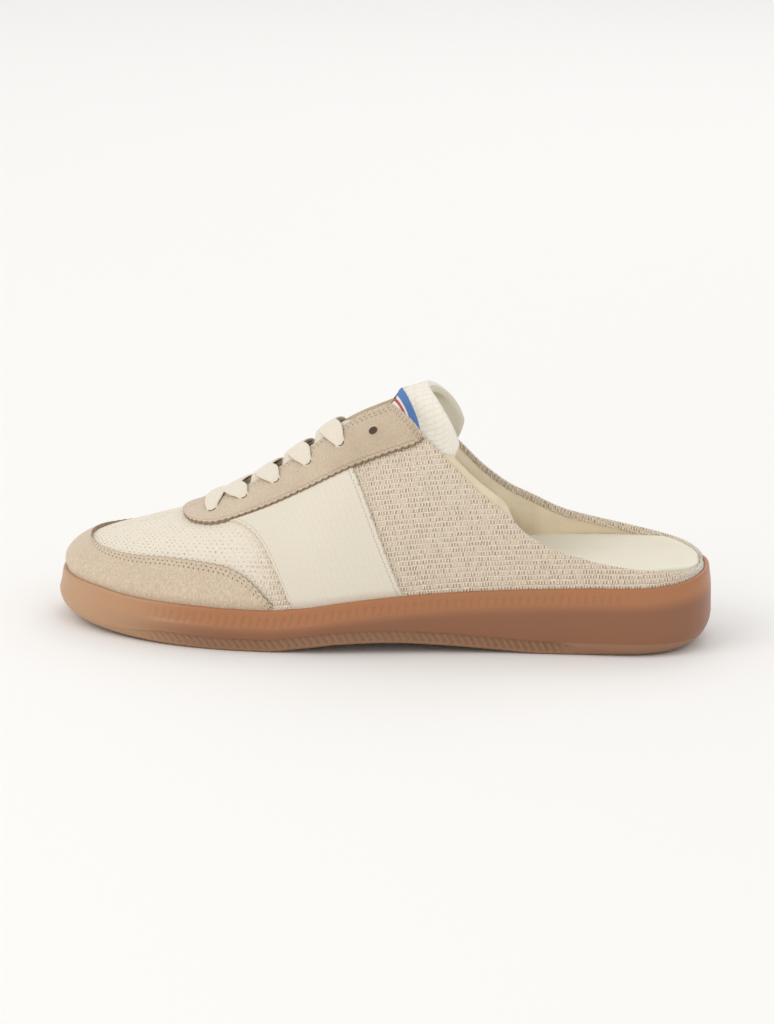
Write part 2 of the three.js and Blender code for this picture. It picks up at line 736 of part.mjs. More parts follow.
// Suede round the toe, from the rim up to its curved edge
function toeCap() {
  const first = CAP_EDGE[0].at;
  const last = CAP_EDGE[CAP_EDGE.length - 1].at;
  const low = (turn) => riseAtHeight(turn, section(turn).base + 2 * GAP);
  const high = (turn) => {
    const { at } = section(turn);
    return at <= first ? 1 : Math.max(along(CAP_EDGE, sideName(turn), at), low(turn));
  };
  const own = [first, ...CAP_STATIONS, last].map(turnAt);
  const turns = UPPER_TURNS.filter((turn) => turn < turnAt(last)).concat(own).sort((a, b) => a - b);
  return thicken(bothSides(turns, low, high, 6), OVERLAY_GAP, OVERLAY_GAP + OVERLAY);
}

// Suede round the throat that carries the eyelets
function eyestay() {
  const first = EYESTAY_EDGE[0].at;
  const last = EYESTAY_EDGE[EYESTAY_EDGE.length - 1].at;
  const low = (turn) => along(EYESTAY_EDGE, sideName(turn), section(turn).at);
  const high = (turn) => Math.max(collarEdge(turn), low(turn));
  const extra = [...LOBE_STATIONS, ...THROAT_STATIONS, ...COLLAR_STATIONS];
  const sheet = bothSides(stations(first, last, 16, extra), low, high, 4);
  return withEyelets(thicken(sheet, OVERLAY_GAP, OVERLAY_GAP + OVERLAY));
}

// Plain leather panel on one side, from the rim to the eyestay
function saddle(inner) {
  const rows = 8;
  const columns = 8;
  const capRear = CAP_EDGE[CAP_EDGE.length - 1].at;
  const grid = Array.from({ length: columns + 1 }, (_, i) => {
    return Array.from({ length: rows + 1 }, (_, j) => {
      const w = j / rows;
      const edge = (name) => SADDLE[0][name] * (1 - w) + SADDLE[1][name] * w;
      const at = edge('front') + ((edge('rear') - edge('front')) * i) / columns;
      const turn = inner ? 2 * Math.PI - turnAt(at) : turnAt(at);
      const low = riseAtHeight(turn, section(turn).base + 2 * GAP);
      const capTop = along(CAP_EDGE, sideName(turn), at) + SADDLE_CLEAR;
      const top = along(EYESTAY_EDGE, sideName(turn), at) - SADDLE_CLEAR;
      const from = at < capRear ? Math.max(low, capTop) : low;
      return { turn, rise: from + (top - from) * w };
    });
  });
  const sheet = newSheet();
  addRows(sheet, grid, inner);
  return thicken(sheet, OVERLAY_GAP, OVERLAY_GAP + OVERLAY);
}

// Padded tongue under the throat; past the eyestay it rises out of the collar
const TONGUE_CLEAR = UPPER_WALL + LABEL_THICK + 2 * GAP;
const TONGUE_BLEND = 0.2;
const TONGUE_START = 0.2;

function tongueFace(point) {
  const side = point.y < RIDGE_SWING ? 1 : -1;
  const outerTurn = turnAt(shareOf(point.x));
  const turn = side > 0 ? outerTurn : 2 * Math.PI - outerTurn;
  const above = riseAtHeight(turn, point.z) - collarEdge(turn);
  const leaving = smooth((shareOf(point.x) - TONGUE_LEAVES) / (LABEL_FRONT - TONGUE_LEAVES));
  return TONGUE_LIFT * leaving * smooth(above / TONGUE_BLEND - TONGUE_START) - TONGUE_CLEAR;
}

function tongueSheet(turns, firstColumn) {
  const edge = (turn, name) => {
    return riseAtHeight(turn, TONGUE_HEIGHT * along(TONGUE_EDGE, name, section(turn).at));
  };
  const high = (turn) => Math.max(edge(turn, 'high'), edge(turn, 'low'));
  const low = (turn) => {
    const bottom = edge(turn, 'low');
    return bottom + ((high(turn) - bottom) * firstColumn) / TONGUE_COLUMNS;
  };
  return bothSides(turns, low, high, TONGUE_COLUMNS - firstColumn);
}

const TONGUE_COLUMNS = 7;
const LABEL_COLUMN = 5;
const LABEL_TURNS = stations(LABEL_FRONT, LABEL_REAR, 4);

function tongue() {
  const first = TONGUE_EDGE[0].at;
  const last = TONGUE_EDGE[TONGUE_EDGE.length - 1].at;
  const turns = [
    ...stations(first, TONGUE_LEAVES, 9),
    turnAt((TONGUE_LEAVES + LABEL_FRONT) / 2),
    ...LABEL_TURNS,
    ...stations(TONGUE_FREE, last, 6),
  ];
  return thicken(tongueSheet(turns, 0), (point) => tongueFace(point) - TONGUE_THICK, tongueFace);
}

// Woven label on the front of the tongue, just above the eyestay
function tongueLabel() {
  return thicken(
    tongueSheet(LABEL_TURNS, LABEL_COLUMN),
    (point) => tongueFace(point) + GAP,
    (point) => tongueFace(point) + GAP + LABEL_THICK,
  );
}

// Laces: a bar over the first row and a crossing between each row and the next
function crownPoint(x, y) {
  const outerTurn = turnAt(shareOf(x));
  const ridgeY = section(outerTurn).ridgeY;
  const turn = y < ridgeY ? outerTurn : 2 * Math.PI - outerTurn;
  const rise = riseAtSide(turn, Math.abs(y - ridgeY));
  return { position: lastPoint(turn, rise), normal: lastNormal(turn, rise) };
}

function laceStrip(from, to, widthFrom, widthTo) {
  const steps = 5;
  const lift = OVERLAY_GAP + OVERLAY + GAP;
  const points = [];
  for (let i = 0; i <= steps; i += 1) {
    const t = i / steps;
    const x = from.x + (to.x - from.x) * t;
    const y = from.y + (to.y - from.y) * t;
    const { position, normal } = crownPoint(x, y);
    const run = new THREE.Vector3(to.x - from.x, to.y - from.y, 0);
    const across = run.cross(normal).normalize();
    const nearFrom = widthFrom + (LACE_WIDTH * t) / LACE_TAPER;
    const nearTo = widthTo + (LACE_WIDTH * (1 - t)) / LACE_TAPER;
    const half = Math.min(LACE_WIDTH, nearFrom, nearTo) / 2;
    for (const [side, height] of [[-1, 0], [1, 0], [1, LACE_THICK], [-1, LACE_THICK]]) {
      const edge = position.clone().addScaledVector(across, side * half);
      points.push(edge.addScaledVector(normal, lift + height));
    }
  }
  const faces = [[0, 1, 2], [0, 2, 3]];
  const end = steps * 4;
  faces.push([end, end + 2, end + 1], [end, end + 3, end + 2]);
  for (let i = 0; i < steps; i += 1) {
    for (let k = 0; k < 4; k += 1) {
      const a = i * 4 + k;
      const b = i * 4 + ((k + 1) % 4);
      faces.push([a, b + 4, b], [a, a + 4, b + 4]);
    }
  }
  return geometryOf(points, faces);
}

const nearEyelet = (row) => eyelet(row, false).position;
const farEyelet = (row) => eyelet(row, true).position;

// The two laces that cross on their way up to a row, each out of the throat and over to its eyelet
function laceCrossing(row) {
  const inThroat = (from, to) => from.clone().lerp(to, LACE_START);
  const legs = [
    [inThroat(farEyelet(row - 1), nearEyelet(row)), nearEyelet(row)],
    [inThroat(nearEyelet(row - 1), farEyelet(row)), farEyelet(row)],
  ];
  const [near, far] = legs.map(([from, to]) => toSolid(laceStrip(from, to, LACE_WIDTH, LACE_TIP)));
  const bar = toSolid(laceStrip(nearEyelet(0), farEyelet(0), LACE_TIP, LACE_TIP));
  return toGeometry(row === 1 ? near.add(far).add(bar) : near.add(far));
}

const shoe = new THREE.Group();

function addPiece(name, geometry, colour, roughness) {
  const material = new THREE.MeshStandardMaterial({ color: colour, roughness, metalness: 0 });
  const mesh = new THREE.Mesh(geometry, material);
  mesh.name = name;
  shoe.add(mesh);
}

addPiece('cupsole', cupsole(), COLOURS.gum, 0.5);
addPiece('insole', insole(), COLOURS.footbed, 0.8);
addPiece('upper', upper(), COLOURS.knit, 0.95);
addPiece('toe_cap', toeCap(), COLOURS.suede, 0.95);
addPiece('eyestay', eyestay(), COLOURS.suede, 0.95);
addPiece('saddle_outer', saddle(false), COLOURS.leather, 0.55);
addPiece('saddle_inner', saddle(true), COLOURS.leather, 0.55);
addPiece('tongue', tongue(), COLOURS.tongue, 0.7);
addPiece('tongue_label', tongueLabel(), COLOURS.label, 0.7);
for (let row = 1; row < LACED_ROWS; row += 1) {
  addPiece(`lace_crossing_${row}`, laceCrossing(row), COLOURS.lace, 0.9);
}

export default shoe;
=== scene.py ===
import math

import bmesh
import bpy
import numpy as np
from mathutils import Matrix, Vector


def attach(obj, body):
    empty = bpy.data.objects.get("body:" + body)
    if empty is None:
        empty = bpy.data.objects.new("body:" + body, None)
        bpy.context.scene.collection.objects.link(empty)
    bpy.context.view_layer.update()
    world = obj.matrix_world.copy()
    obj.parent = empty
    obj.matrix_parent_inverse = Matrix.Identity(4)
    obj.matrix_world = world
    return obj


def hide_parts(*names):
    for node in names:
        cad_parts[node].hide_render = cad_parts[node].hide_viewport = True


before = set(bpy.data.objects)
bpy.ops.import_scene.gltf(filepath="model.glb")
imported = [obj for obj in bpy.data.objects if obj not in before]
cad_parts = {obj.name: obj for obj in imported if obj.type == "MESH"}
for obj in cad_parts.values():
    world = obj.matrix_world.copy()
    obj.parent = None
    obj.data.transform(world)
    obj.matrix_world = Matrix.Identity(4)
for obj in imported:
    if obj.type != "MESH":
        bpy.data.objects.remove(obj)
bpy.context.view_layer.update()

# Studio: the shoe stands on a pale floor in soft light, seen from its outer side and a little above,
# from as far as a long lens needs, with the toe to the left.
VIEW_AZIMUTH = 3.77
VIEW_ELEVATION = 15
VIEW_ROLL = 1.24
VIEW_DISTANCE = 1.5
VIEW_LENS = 129.2
AIM = Vector((0.0007, 0, 0.0478))
FLOOR_SIZE = 6
ROOM_LIGHT = 0.82


def tone(red, green, blue):
    """Linear colour of a shade given in screen values from 0 to 255."""
    shares = [value / 255 for value in (red, green, blue)]
    linear = [v / 12.92 if v <= 0.04045 else ((v + 0.055) / 1.055) ** 2.4 for v in shares]
    return (*linear, 1)


def soft_light(name, place, size, power, shade):
    light = bpy.data.lights.new(name, "AREA")
    light.shape = "DISK"
    light.size = size
    light.energy = power
    light.color = shade[:3]
    lamp = bpy.data.objects.new(name, light)
    lamp.location = place
    lamp.rotation_euler = (AIM - Vector(place)).to_track_quat("-Z", "Y").to_euler()
    bpy.context.scene.collection.objects.link(lamp)


def studio_camera():
    azimuth = math.radians(VIEW_AZIMUTH)
    elevation = math.radians(VIEW_ELEVATION)
    level = math.cos(elevation)
    back = Vector((math.sin(azimuth) * level, -math.cos(azimuth) * level, math.sin(elevation)))
    turned = Matrix.Rotation(math.radians(VIEW_ROLL), 4, "Z")
    camera = bpy.data.objects.new("camera", bpy.data.cameras.new("camera"))
    camera.data.lens = VIEW_LENS
    camera.data.clip_end = 20
    camera.matrix_world = (
        Matrix.Translation(AIM + back * VIEW_DISTANCE)
        @ (-back).to_track_quat("-Z", "Y").to_matrix().to_4x4()
        @ turned
    )
    bpy.context.scene.collection.objects.link(camera)
    bpy.context.scene.camera = camera


def studio_floor():
    half = FLOOR_SIZE / 2
    mesh = bpy.data.meshes.new("floor")
    corners = [(-half, -half, 0), (half, -half, 0), (half, half, 0), (-half, half, 0)]
    mesh.from_pydata(corners, [], [(0, 1, 2, 3)])
    floor = bpy.data.objects.new("floor", mesh)
    bpy.context.scene.collection.objects.link(floor)
    material = bpy.data.materials.new("floor")
    material.use_nodes = True
    shader = material.node_tree.nodes["Principled BSDF"]
    shader.inputs["Base Color"].default_value = tone(247, 246, 244)
    shader.inputs["Roughness"].default_value = 0.9
    mesh.materials.append(material)


studio_camera()
studio_floor()
soft_light("key", place=(-1.5, -1.1, 1.5), size=1.5, power=13, shade=tone(255, 250, 243))
soft_light("fill", place=(1.3, -1.5, 1.3), size=1.8, power=2.5, shade=tone(250, 250, 255))
soft_light("back", place=(0.3, 1.6, 1.6), size=1.6, power=6, shade=tone(255, 253, 250))
world = bpy.data.worlds.new("studio")
world.use_nodes = True
world.node_tree.nodes["Background"].inputs["Color"].default_value = tone(255, 255, 255)
world.node_tree.nodes["Background"].inputs["Strength"].default_value = ROOM_LIGHT
bpy.context.scene.world = world
bpy.context.scene.view_settings.view_transform = "Standard"

# Cupsole: one moulding of gum rubber that cups the upper. Its side has fine upright flutes under the
# edge and a sunk band of slanted ribs near the ground, and its tread has bars across the ball and heel.
SOLE_LENGTH = 0.268
BALL_WIDTH = 0.096
HEEL_HEIGHT = 0.028
TOE_SPRING = 0.0034
ARCH_RISE = 0.0046
TOE_ROUND = 0.072
HEEL_ROUND = 0.038
END_POWER = 2.4
TOE_SWING = 0.005
RIM_SETBACK = 0.0018
RIM_WIDTH = 0.0016
RIM_CORNER = 0.0004
CUP_DEPTH = 0.0072
BELLY_HEIGHT = 0.013
BELLY_ROOM = 0.001
BELLY_SETBACK = 0.25
RIB_PITCH = 0.003
RIB_DEPTH = 0.0009
RIB_FOOT = 0.001
RIB_TALL = 0.0044
RIB_SLANT = 0.0026
RIB_FRONT, RIB_REAR = 0.13, 0.81
GROOVE_FADE = 0.03
GROOVE_CURVE = 1.5
FLUTE_PITCH = 0.0033
FLUTE_DEPTH = 0.0005
FLUTE_TALL = 0.004
FLUTE_DROP = 0.0026
FLUTE_FRONT, FLUTE_REAR = 0.14, 0.89
FLUTE_ROWS = 9
FLUTE_LOW, FLUTE_HIGH = 0.3, 0.65
TREAD_DEPTH = 0.0014
TREAD_RIM = 0.006
TREAD_CORNER = 0.11
TREAD_ZONES = ((0.11, 0.42), (0.70, 0.90))
BAR_LENGTH = 0.006
BAR_PITCH = 0.010
BAR_SETBACK = 0.004
BAR_CLEAR = 0.0001
BAR_SUNK = 0.0005
SOLE_COLUMNS = 2000
LEDGE_TOP = 0.0056
# Gum colours with painted light and shade: a lit band under the edge, shade lower down, a reflection of the
# floor near the ground, and light on the toe
GUM_PAINTED_LIGHT_TOP = tone(172, 113, 71)
GUM_PAINTED_SHADE_MIDDLE = tone(140, 91, 61)
GUM_PAINTED_REFLECTION_FOOT = tone(152, 112, 82)
GUM_PAINTED_LIGHT_TOE = tone(190, 150, 114)
GUM_CLOUD = tone(146, 100, 68)
# Heights over the ground and places along the length where the painted light, shade and reflection on the gum
# start and end
GUM_EDGE_END, GUM_MIDDLE_START = 0.0045, 0.0105
GUM_FOOT_END, GUM_FOOT_START = 0.0062, 0.0050
GUM_TOE_START, GUM_TOE_END = -0.060, -0.128


def table(columns, rows):
    """Rows of numbers with named columns."""
    return np.array(rows, dtype=[(name, float) for name in columns.split()])


# Half widths of the outline, as shares of BALL_WIDTH, along the length
OUTLINE = table("at outer inner", [
    (0.00, 0.400, 0.420),
    (0.10, 0.430, 0.455),
    (0.20, 0.475, 0.485),
    (0.30, 0.502, 0.490),
    (0.40, 0.505, 0.460),
    (0.50, 0.470, 0.405),
    (0.60, 0.420, 0.360),
    (0.70, 0.380, 0.343),
    (0.80, 0.360, 0.347),
    (0.90, 0.352, 0.350),
    (1.00, 0.350, 0.350),
])

# Underside and top edge: spring and arch as shares of their sizes, edge and corner of HEEL_HEIGHT
SOLE_SIDE = table("at spring arch edge corner round", [
    (0.00, 1.00, 0.00, 0.725, 0.30, 1.0),
    (0.06, 0.55, 0.00, 0.700, 0.21, 1.0),
    (0.12, 0.30, 0.00, 0.646, 0.15, 0.6),
    (0.18, 0.15, 0.00, 0.636, 0.12, 0.0),
    (0.24, 0.03, 0.00, 0.628, 0.11, 0.0),
    (0.27, 0.00, 0.00, 0.620, 0.11, 0.0),
    (0.33, 0.00, 0.00, 0.618, 0.11, 0.0),
    (0.385, 0.00, 0.40, 0.670, 0.11, 0.0),
    (0.445, 0.00, 0.85, 0.760, 0.11, 0.0),
    (0.52, 0.00, 1.00, 0.845, 0.11, 0.0),
    (0.60, 0.00, 0.75, 0.905, 0.11, 0.0),
    (0.69, 0.00, 0.28, 0.945, 0.11, 0.0),
    (0.76, 0.00, 0.00, 0.972, 0.13, 0.0),
    (0.82, 0.00, 0.00, 0.993, 0.17, 0.8),
    (0.90, 0.00, 0.00, 1.012, 0.22, 1.0),
    (0.955, 0.00, 0.00, 1.055, 0.31, 1.0),
    (1.00, 0.00, 0.00, 1.130, 0.46, 1.0),
])

# The side from the ground up: angle round a plain lower corner, and inset and height where it is ribbed
SOLE_PROFILE = table("angle inset height", [
    (0, 0.0031, 0.0000),
    (14, 0.0024, 0.0004),
    (24, 0.0020, 0.0008),
    (28, 0.0019, 0.0010),
    (31, 0.00182, 0.0015),
    (34, 0.00174, 0.0020),
    (37, 0.00166, 0.0025),
    (40, 0.00158, 0.0030),
    (43, 0.00150, 0.0035),
    (46, 0.00142, 0.0040),
    (49, 0.00134, 0.0045),
    (52, 0.00126, 0.0050),
    (55, 0.00120, 0.0054),
    (60, 0.00060, 0.0056),
    (66, 0.00030, 0.0060),
    (72, 0.00026, 0.0066),
    (80, 0.00012, 0.0092),
    (90, 0.00000, 0.0130),
])

# Rounded top edge: setback as a share of RIM_SETBACK, and how far it lies below the top
RIM_CURVE = table("setback drop", [
    (0.75, 0.00120),
    (0.85, 0.00050),
    (1.00, 0.00012),
    (1.20, 0.00000),
])


def along(rows, column, at):
    """A table's column at shares of the length, on a smooth curve through its rows."""
    places, values = rows["at"], rows[column]
    at = np.clip(at, places[0], places[-1])
    step = np.diff(places)
    rise = np.diff(values) / step
    product = rise[:-1] * rise[1:]
    total = np.where(product > 0, rise[:-1] + rise[1:], 1)
    slope = np.concatenate(([rise[0]], np.where(product > 0, 2 * product / total, 0), [rise[-1]]))
    row = np.clip(np.searchsorted(places, at) - 1, 0, len(places) - 2)
    t = (at - places[row]) / step[row]
    turn = t * t * (3 - 2 * t)
    bend = slope[row] * t * (1 - t) ** 2 - slope[row + 1] * t * t * (1 - t)
    return values[row] * (1 - turn) + values[row + 1] * turn + step[row] * bend


def smooth(value):
    share = np.clip(value, 0, 1)
    return share * share * (3 - 2 * share)


def rounding(distance, length):
    """Rounds an end off: 0 at the tip, and 1 from one length of rounding on."""
    left = np.clip(1 - distance / length, 0, 1)
    return (1 - left**END_POWER) ** (1 / END_POWER)


def plan(turn, inset):
    """Outline of the shoe from above. A turn of 0 is the toe, and pi is the back of the heel."""
    half = SOLE_LENGTH / 2 - inset
    x = -half * np.cos(turn)
    at = x / SOLE_LENGTH + 0.5
    outer = np.sin(turn) > 0
    share = np.where(outer, along(OUTLINE, "outer", at), along(OUTLINE, "inner", at))
    width = BALL_WIDTH * share - inset
    toe = rounding(x + half, TOE_ROUND - inset)
    heel = rounding(half - x, HEEL_ROUND - inset)
    y = np.where(outer, -width, width) * toe * heel + TOE_SWING * (1 - toe)
    return x, y, at


def ground(at):
    return TOE_SPRING * along(SOLE_SIDE, "spring", at) + ARCH_RISE * along(SOLE_SIDE, "arch", at)


def rim(at):
    return HEEL_HEIGHT * along(SOLE_SIDE, "edge", at)


def cup_floor(at):
    return rim(at) - CUP_DEPTH


def mesh_of_grid(name, points, closed=False, spread=None):
    """Smooth mesh over rows and columns of points; spread is the name and the values of a UV map."""
    rows, columns = points.shape[:2]
    last = columns if closed else columns - 1
    i, j = np.meshgrid(np.arange(rows - 1), np.arange(last), indexing="ij")
    k = (j + 1) % columns
    corners = [i * columns + j, i * columns + k, (i + 1) * columns + k, (i + 1) * columns + j]
    faces = np.stack(corners, -1).reshape(-1, 4)
    mesh = bpy.data.meshes.new(name)
    mesh.from_pydata(points.reshape(-1, 3).tolist(), [], faces.tolist())
    mesh.polygons.foreach_set("use_smooth", np.ones(len(faces), dtype=bool))
    if spread is not None:
        layer = mesh.uv_layers.new(name=spread[0])
        layer.data.foreach_set("uv", spread[1].reshape(-1, 2)[faces.reshape(-1)].reshape(-1))
    mesh.update()
    return mesh


def piece(name, mesh, material):
    """A new object with one material, riding on the shoe's body."""
    thing = bpy.data.objects.new(name, mesh)
    bpy.context.scene.collection.objects.link(thing)
    if not mesh.materials:
        mesh.materials.append(material)
    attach(thing, "root")
    return thing


def add(tree, kind, sockets=None, **settings):
    """One shader node. Its sockets are given as values, or as outputs of other nodes to link."""
    made = tree.nodes.new("ShaderNode" + kind)
    for name, value in settings.items():
        setattr(made, name, value)
    for name, value in (sockets or {}).items():
        if isinstance(value, bpy.types.NodeSocket):
            tree.links.new(value, made.inputs[name])
        else:
            made.inputs[name].default_value = value
    return made


def maths(tree, operation, first, second=0.0):
    return add(tree, "Math", {0: first, 1: second}, operation=operation).outputs[0]


def ramp(tree, value, low, high, bottom=0.0, top=1.0):
    """Smooth step of a value from one number to another."""
    sockets = {"Value": value, "From Min": low, "From Max": high, "To Min": bottom, "To Max": top}
    return add(tree, "MapRange", sockets, interpolation_type="SMOOTHSTEP").outputs["Result"]


def blend(tree, share, first, second):
    """Colour between two colours."""
    return add(tree, "Mix", {0: share, 6: first, 7: second}, data_type="RGBA").outputs[2]


def stain(tree, mask, strength, shade, colour):
    """Lays a colour over a shade by a share of a mask."""
    return blend(tree, maths(tree, "MULTIPLY", mask, strength), shade, colour)


def new_effect(name, inputs, outputs):
    """Empty shader node group with named sockets, and its two end nodes."""
    effect = bpy.data.node_groups.new(name, "ShaderNodeTree")
    for title, kind, value in inputs:
        socket = effect.interface.new_socket(title, in_out="INPUT", socket_type="NodeSocket" + kind)
        if value is not None:
            socket.default_value = value
    for title in outputs:
        effect.interface.new_socket(title, in_out="OUTPUT", socket_type="NodeSocketFloat")
    return effect, effect.nodes.new("NodeGroupInput"), effect.nodes.new("NodeGroupOutput")


def effect_node(tree, effect, sockets):
    """One use of an effect in a material."""
    return add(tree, "Group", sockets, node_tree=effect).outputs


def new_material(name, roughness, **sockets):
    """Material with one Principled shader whose even values are set on its own sockets."""
    material = bpy.data.materials.new(name)
    material.use_nodes = True
    tree = material.node_tree
    shader = tree.nodes["Principled BSDF"]
    shader.inputs["Roughness"].default_value = roughness
    for title, value in sockets.items():
        shader.inputs[title.replace("_", " ")].default_value = value
    return material, tree, shader


def bumped(tree, shader, height, strength, distance):
    sockets = {"Height": height, "Strength": strength, "Distance": distance}
    normal = add(tree, "Bump", sockets).outputs["Normal"]
    tree.links.new(normal, shader.inputs["Normal"])


def mottle_effect():
    """Cloudy variation of a surface at a large and a small size, from 0 to 1."""
    effect, start, end = new_effect(
        "mottle",
        [("Place", "Vector", None), ("Large", "Float", 40.0), ("Small", "Float", 400.0)],
        ["Cloud", "Speckle"],
    )
    for title, size, detail in (("Cloud", "Large", 3), ("Speckle", "Small", 5)):
        sockets = {"Vector": start.outputs["Place"], "Scale": start.outputs[size], "Detail": detail}
        noise = add(effect, "TexNoise", sockets)
        effect.links.new(ramp(effect, noise.outputs["Fac"], 0.3, 0.7), end.inputs[title])
    return effect


MOTTLE = mottle_effect()


def sole_points():
    """Rows from the tread's edge up the side, over the rim and down into the cup."""
    turn = 2 * np.pi * np.arange(SOLE_COLUMNS) / SOLE_COLUMNS
    x, y, at = plan(turn, 0.0)
    walk = np.cumsum(np.hypot(np.diff(x, prepend=x[-1]), np.diff(y, prepend=y[-1])))
    radius = HEEL_HEIGHT * along(SOLE_SIDE, "corner", at)
    plain = along(SOLE_SIDE, "round", at)
    low, top = ground(at), rim(at)
    bottom = top - FLUTE_DROP - FLUTE_TALL
    room = np.minimum(BELLY_HEIGHT, bottom - low - BELLY_ROOM)
    squeeze = (room - LEDGE_TOP) / (BELLY_HEIGHT - LEDGE_TOP)
    contact = HEEL_HEIGHT * TREAD_CORNER * (1 - plain) + radius * plain

    def groove(place, pitch, front, rear):
        wave = 0.5 - 0.5 * np.cos(2 * np.pi * place / pitch)
        fade = smooth((at - front) / GROOVE_FADE) * smooth((rear - at) / GROOVE_FADE)
        return wave**GROOVE_CURVE * fade

    rows = [
        (contact + TREAD_RIM, low + TREAD_DEPTH),
        (contact + TREAD_RIM, low),
    ]
    for step in SOLE_PROFILE:
        angle = math.radians(step["angle"])
        inset = step["inset"] * (1 - plain) + radius * (1 - math.sin(angle)) * plain
        ribbed = min(step["height"], LEDGE_TOP) + max(0, step["height"] - LEDGE_TOP) * squeeze
        height = low + ribbed * (1 - plain) + radius * (1 - math.cos(angle)) * plain
        share = (step["height"] - RIB_FOOT) / RIB_TALL
        if 0 < share <= 1:
            leaning = x + RIB_SLANT * share
            inset = inset + RIB_DEPTH * groove(leaning, RIB_PITCH, RIB_FRONT, RIB_REAR) * (1 - plain)
        rows.append((inset, height))
    belly = rows[-1][1]
    for share in (0.4, 0.8):
        rows.append((np.full_like(x, RIM_SETBACK * BELLY_SETBACK * share), belly + (bottom - belly) * share))
    for share in np.linspace(0, 1, FLUTE_ROWS):
        deep = math.sin(math.pi * share) ** 0.5
        inset = RIM_SETBACK * (FLUTE_LOW + (FLUTE_HIGH - FLUTE_LOW) * share)
        inset = inset + FLUTE_DEPTH * deep * groove(walk, FLUTE_PITCH, FLUTE_FRONT, FLUTE_REAR)
        rows.append((inset, bottom + FLUTE_TALL * share))
    for step in RIM_CURVE:
        rows.append((np.full_like(x, RIM_SETBACK * step["setback"]), top - step["drop"]))
    inner = RIM_SETBACK + RIM_WIDTH
    for inset, drop in ((inner - RIM_CORNER, 0), (inner, RIM_CORNER), (inner, CUP_DEPTH)):
        rows.append((np.full_like(x, inset), top - drop))
    grid, spread = [], []
    for inset, height in rows:
        px, py, _ = plan(turn, inset)
        grid.append(np.stack([px, py, height], -1))
        spread.append(np.stack([height - low, top - height], -1))
    return np.array(grid), np.array(spread)


def gum_rubber():
    """Gum rubber: warm brown, with painted light on the band under its edge, painted shade below it, a
    painted reflection of the floor along the ribs near the ground, and painted light round the toe.
    """
    material, tree, shader = new_material("gum_rubber", 0.42, Coat_Weight=0.12, Coat_Roughness=0.35)
    shader.inputs["Subsurface Weight"].default_value = 0.08
    shader.inputs["Subsurface Radius"].default_value = (0.004, 0.0015, 0.0007)
    place = add(tree, "TexCoord").outputs["Object"]
    cloud = effect_node(tree, MOTTLE, {"Place": place, "Large": 28.0, "Small": 900.0})
    side = add(tree, "SeparateXYZ", {0: add(tree, "UVMap", uv_map="side").outputs[0]})
    # Painted light on the band under the edge, painted shade below it, and a painted reflection of the floor
    # near the ground
    painted_shade_below_edge = ramp(tree, side.outputs["Y"], GUM_EDGE_END, GUM_MIDDLE_START)
    shade = blend(tree, painted_shade_below_edge, GUM_PAINTED_LIGHT_TOP, GUM_PAINTED_SHADE_MIDDLE)
    painted_reflection_near_ground = ramp(tree, side.outputs["X"], GUM_FOOT_END, GUM_FOOT_START)
    shade = blend(tree, painted_reflection_near_ground, shade, GUM_PAINTED_REFLECTION_FOOT)
    # Painted light round the toe, which faces the key light
    toe = ramp(tree, add(tree, "SeparateXYZ", {0: place}).outputs["X"], GUM_TOE_START, GUM_TOE_END)
    shade = blend(tree, toe, shade, GUM_PAINTED_LIGHT_TOE)
    shade = stain(tree, cloud["Cloud"], 0.14, shade, GUM_CLOUD)
    tree.links.new(shade, shader.inputs["Base Color"])
    bumped(tree, shader, cloud["Speckle"], 0.12, 0.0002)
    return material


GUM = gum_rubber()


def tread_bars():
    """Bars across the tread, at the ball and at the heel, as one mesh."""
    points, faces = [], []
    for front, rear in TREAD_ZONES:
        count = int((rear - front) * SOLE_LENGTH / BAR_PITCH)
        for i in range(count):
            start = (front - 0.5) * SOLE_LENGTH + i * BAR_PITCH
            base = len(points)
            for x in (start, start + BAR_LENGTH):
                turn = math.acos(-x / (SOLE_LENGTH / 2))
                at = np.array([x / SOLE_LENGTH + 0.5])
                inset = float(HEEL_HEIGHT * along(SOLE_SIDE, "corner", at)[0]) + TREAD_RIM + BAR_SETBACK
                for side in (turn, 2 * math.pi - turn):
                    y = float(plan(np.array([side]), inset)[1][0])
                    low = float(ground(at)[0])
                    points += [(x, y, low + BAR_CLEAR), (x, y, low + TREAD_DEPTH + BAR_SUNK)]
            faces += [[base + k for k in face] for face in (
                (0, 2, 6, 4), (1, 5, 7, 3), (0, 4, 5, 1), (2, 3, 7, 6), (0, 1, 3, 2), (4, 6, 7, 5),
            )]
    mesh = bpy.data.meshes.new("tread_bars")
    mesh.from_pydata(points, [], faces)
    return mesh


def tread_floor(ring):
    """Recessed floor of the tread, from the outer side of its edge to the inner side."""
    half = SOLE_COLUMNS // 2
    outer = ring[: half + 1]
    inner = np.concatenate([ring[:1], ring[:half - 1:-1]])
    return np.stack([outer, (outer + inner) / 2, inner])


rings, ring_spread = sole_points()
sole_mesh = mesh_of_grid("gum_cupsole", rings, closed=True, spread=("side", ring_spread))
cupsole = piece("gum_cupsole", sole_mesh, GUM)
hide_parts("cupsole")
for name, mesh in (
    ("tread_floor", mesh_of_grid("tread_floor", tread_floor(rings[0]))),
    ("tread_bars", tread_bars()),
):
    piece(name, mesh, GUM)

